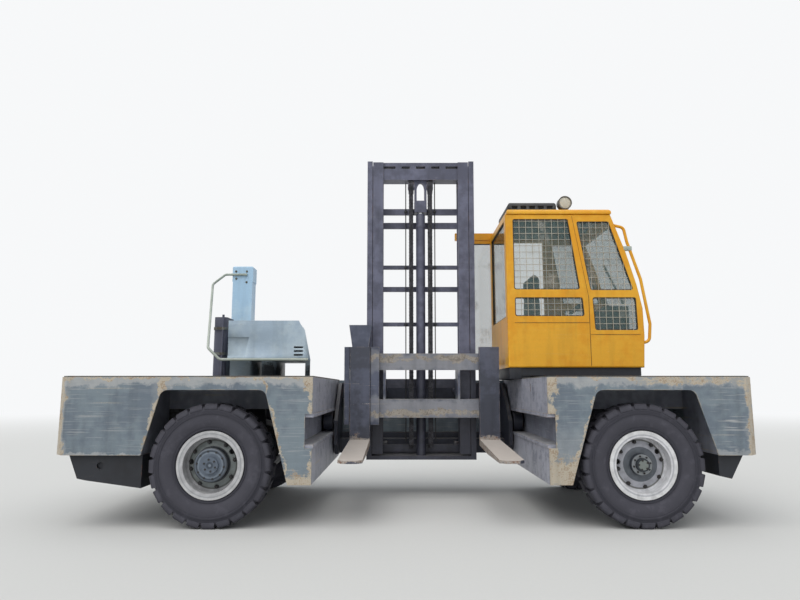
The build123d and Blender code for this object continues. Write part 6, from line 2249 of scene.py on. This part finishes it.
@dataclass
class EngineEnd:
    """Engine hood with its lid, stack, silencer and tube loop.

    Attributes:
        depth: Y of the hood's near and far side.
        taper: X beyond which the hood is drawn in, and by how much at its far side.
        hinge: Y and height of the lid's hinge.
        hinge_places: X at which each hinge starts.
        barrel: Radius and length along the hinge, of each corner of its barrel.
        rivets: X and height of each bolt through the stack's head.
        rivet: Radius and height of each corner of a bolt.
        stack_face: Y of the stack's near face.
        strap_heights: Heights of the silencer's straps.
        strap: Width, radius at the corners and depth of a strap.
        loop: Corners of the tube loop.
        loop_size: Diameter of the tube and radius of its bends.
    """

    depth: Flat = (-0.1, 0.75)
    taper: Flat = (-1.39, 0.128)
    hinge: Flat = (0.755, 1.885)
    hinge_places: tuple[float, ...] = (-1.72, -1.28)
    barrel: tuple[Flat, ...] = (
        (0.0, 0.0), (0.009, 0.0), (0.009, 0.03), (0.008, 0.032), (0.009, 0.034), (0.009, 0.08), (0.0, 0.08))
    rivets: tuple[Flat, ...] = ((-2.035, 2.576), (-1.905, 2.576), (-2.030, 2.488), (-1.905, 2.445))
    rivet: tuple[Flat, ...] = (
        (0.0, -0.002), (0.015, -0.002), (0.015, 0.002), (0.010, 0.002), (0.010, 0.009), (0.0, 0.010))
    stack_face: float = 0.77
    strap_heights: tuple[float, ...] = (1.56, 1.84)
    strap: Point = (0.003, 0.04, 0.03)
    loop: tuple[Point, ...] = (
        (-1.897, 0.7557, 2.535), (-2.156, 0.7557, 2.535), (-2.301, 0.7417, 2.415), (-2.063, -0.1143, 1.597),
        (-1.937, -0.1143, 1.476), (-1.015, -0.1143, 1.476))
    loop_size: Flat = (0.028, 0.045)

    def build(self, shop: Workshop) -> None:
        """Dresses the engine end and adds its fittings.

        Args:
            shop: The workshop.
        """
        for name, node, body in (("tapered_hood", "engine_hood", "chassis"),
                                 ("tapered_lid", "hood_lid", "hood_lid")):
            shop.piece(name, self._tapered(shop, node), HOOD, body, [node])
        shop.dress(STACK, "air_stack")
        shop.dress(SILENCER, "silencer")
        shop.piece("tube_loop", shop.bar(self.loop, *self.loop_size), RAIL, "chassis",
                   ["deck_rail"])
        shop.dress(ENGINE, "engine_block")
        shop.piece("lid_hinges", self._hinges(), HOOD, "hood_lid")
        shop.piece("stack_bolts", self._bolts(), BOLT, "chassis")
        shop.piece("silencer_straps", self._straps(shop), BOLT, "chassis")

    def _tapered(self, shop: Workshop, node: str) -> bpy.types.Mesh:
        """A hood node whose right end draws in towards its far side.

        Args:
            shop: The workshop.
            node: The CAD node.

        Returns:
            The changed copy.
        """
        mesh = shop.copy_of(node)
        near, far = self.depth
        start, draw = self.taper
        for vertex in mesh.vertices:
            if vertex.co.x > start:
                vertex.co.x -= draw * (vertex.co.y - near) / (far - near)
        return mesh

    def _hinges(self) -> Shape:
        """Barrels of the lid's two hinges.

        Returns:
            The barrels' shape.
        """
        shape = Shape()
        for x in self.hinge_places:
            shape.lathe(self.barrel, along_x((x, *self.hinge)), 16)
        return shape

    def _bolts(self) -> Shape:
        """Bolts through the head of the stack.

        Returns:
            The bolts' shape.
        """
        shape = Shape()
        for x, z in self.rivets:
            shape.lathe(self.rivet, towards_load((x, self.stack_face, z)), 6)
        return shape

    def _straps(self, shop: Workshop) -> Shape:
        """Straps round the silencer.

        Args:
            shop: The workshop.

        Returns:
            The straps' shape.
        """
        low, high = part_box("silencer")
        shape = Shape()
        for z in self.strap_heights:
            corners = [(x, y, z) for x, y in rectangle((low.x, low.y), (high.x, high.y))]
            shape.merge(shop.bar(corners, *self.strap, True))
        return shape


def main() -> None:
    """Builds the studio and every sub-assembly in order."""
    logging.basicConfig(level=logging.INFO, format="%(name)s %(message)s", force=True)
    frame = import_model()
    Studio().build()
    shop = Workshop(frame)
    parts: list[Any] = [Frame(), Mast(), ForkCarriage(), Cab(), EngineEnd()]
    parts += [Wheel(end, side) for end in End for side in Side]
    for part in parts:
        part.build(shop)


if __name__ == "__main__":
    main()
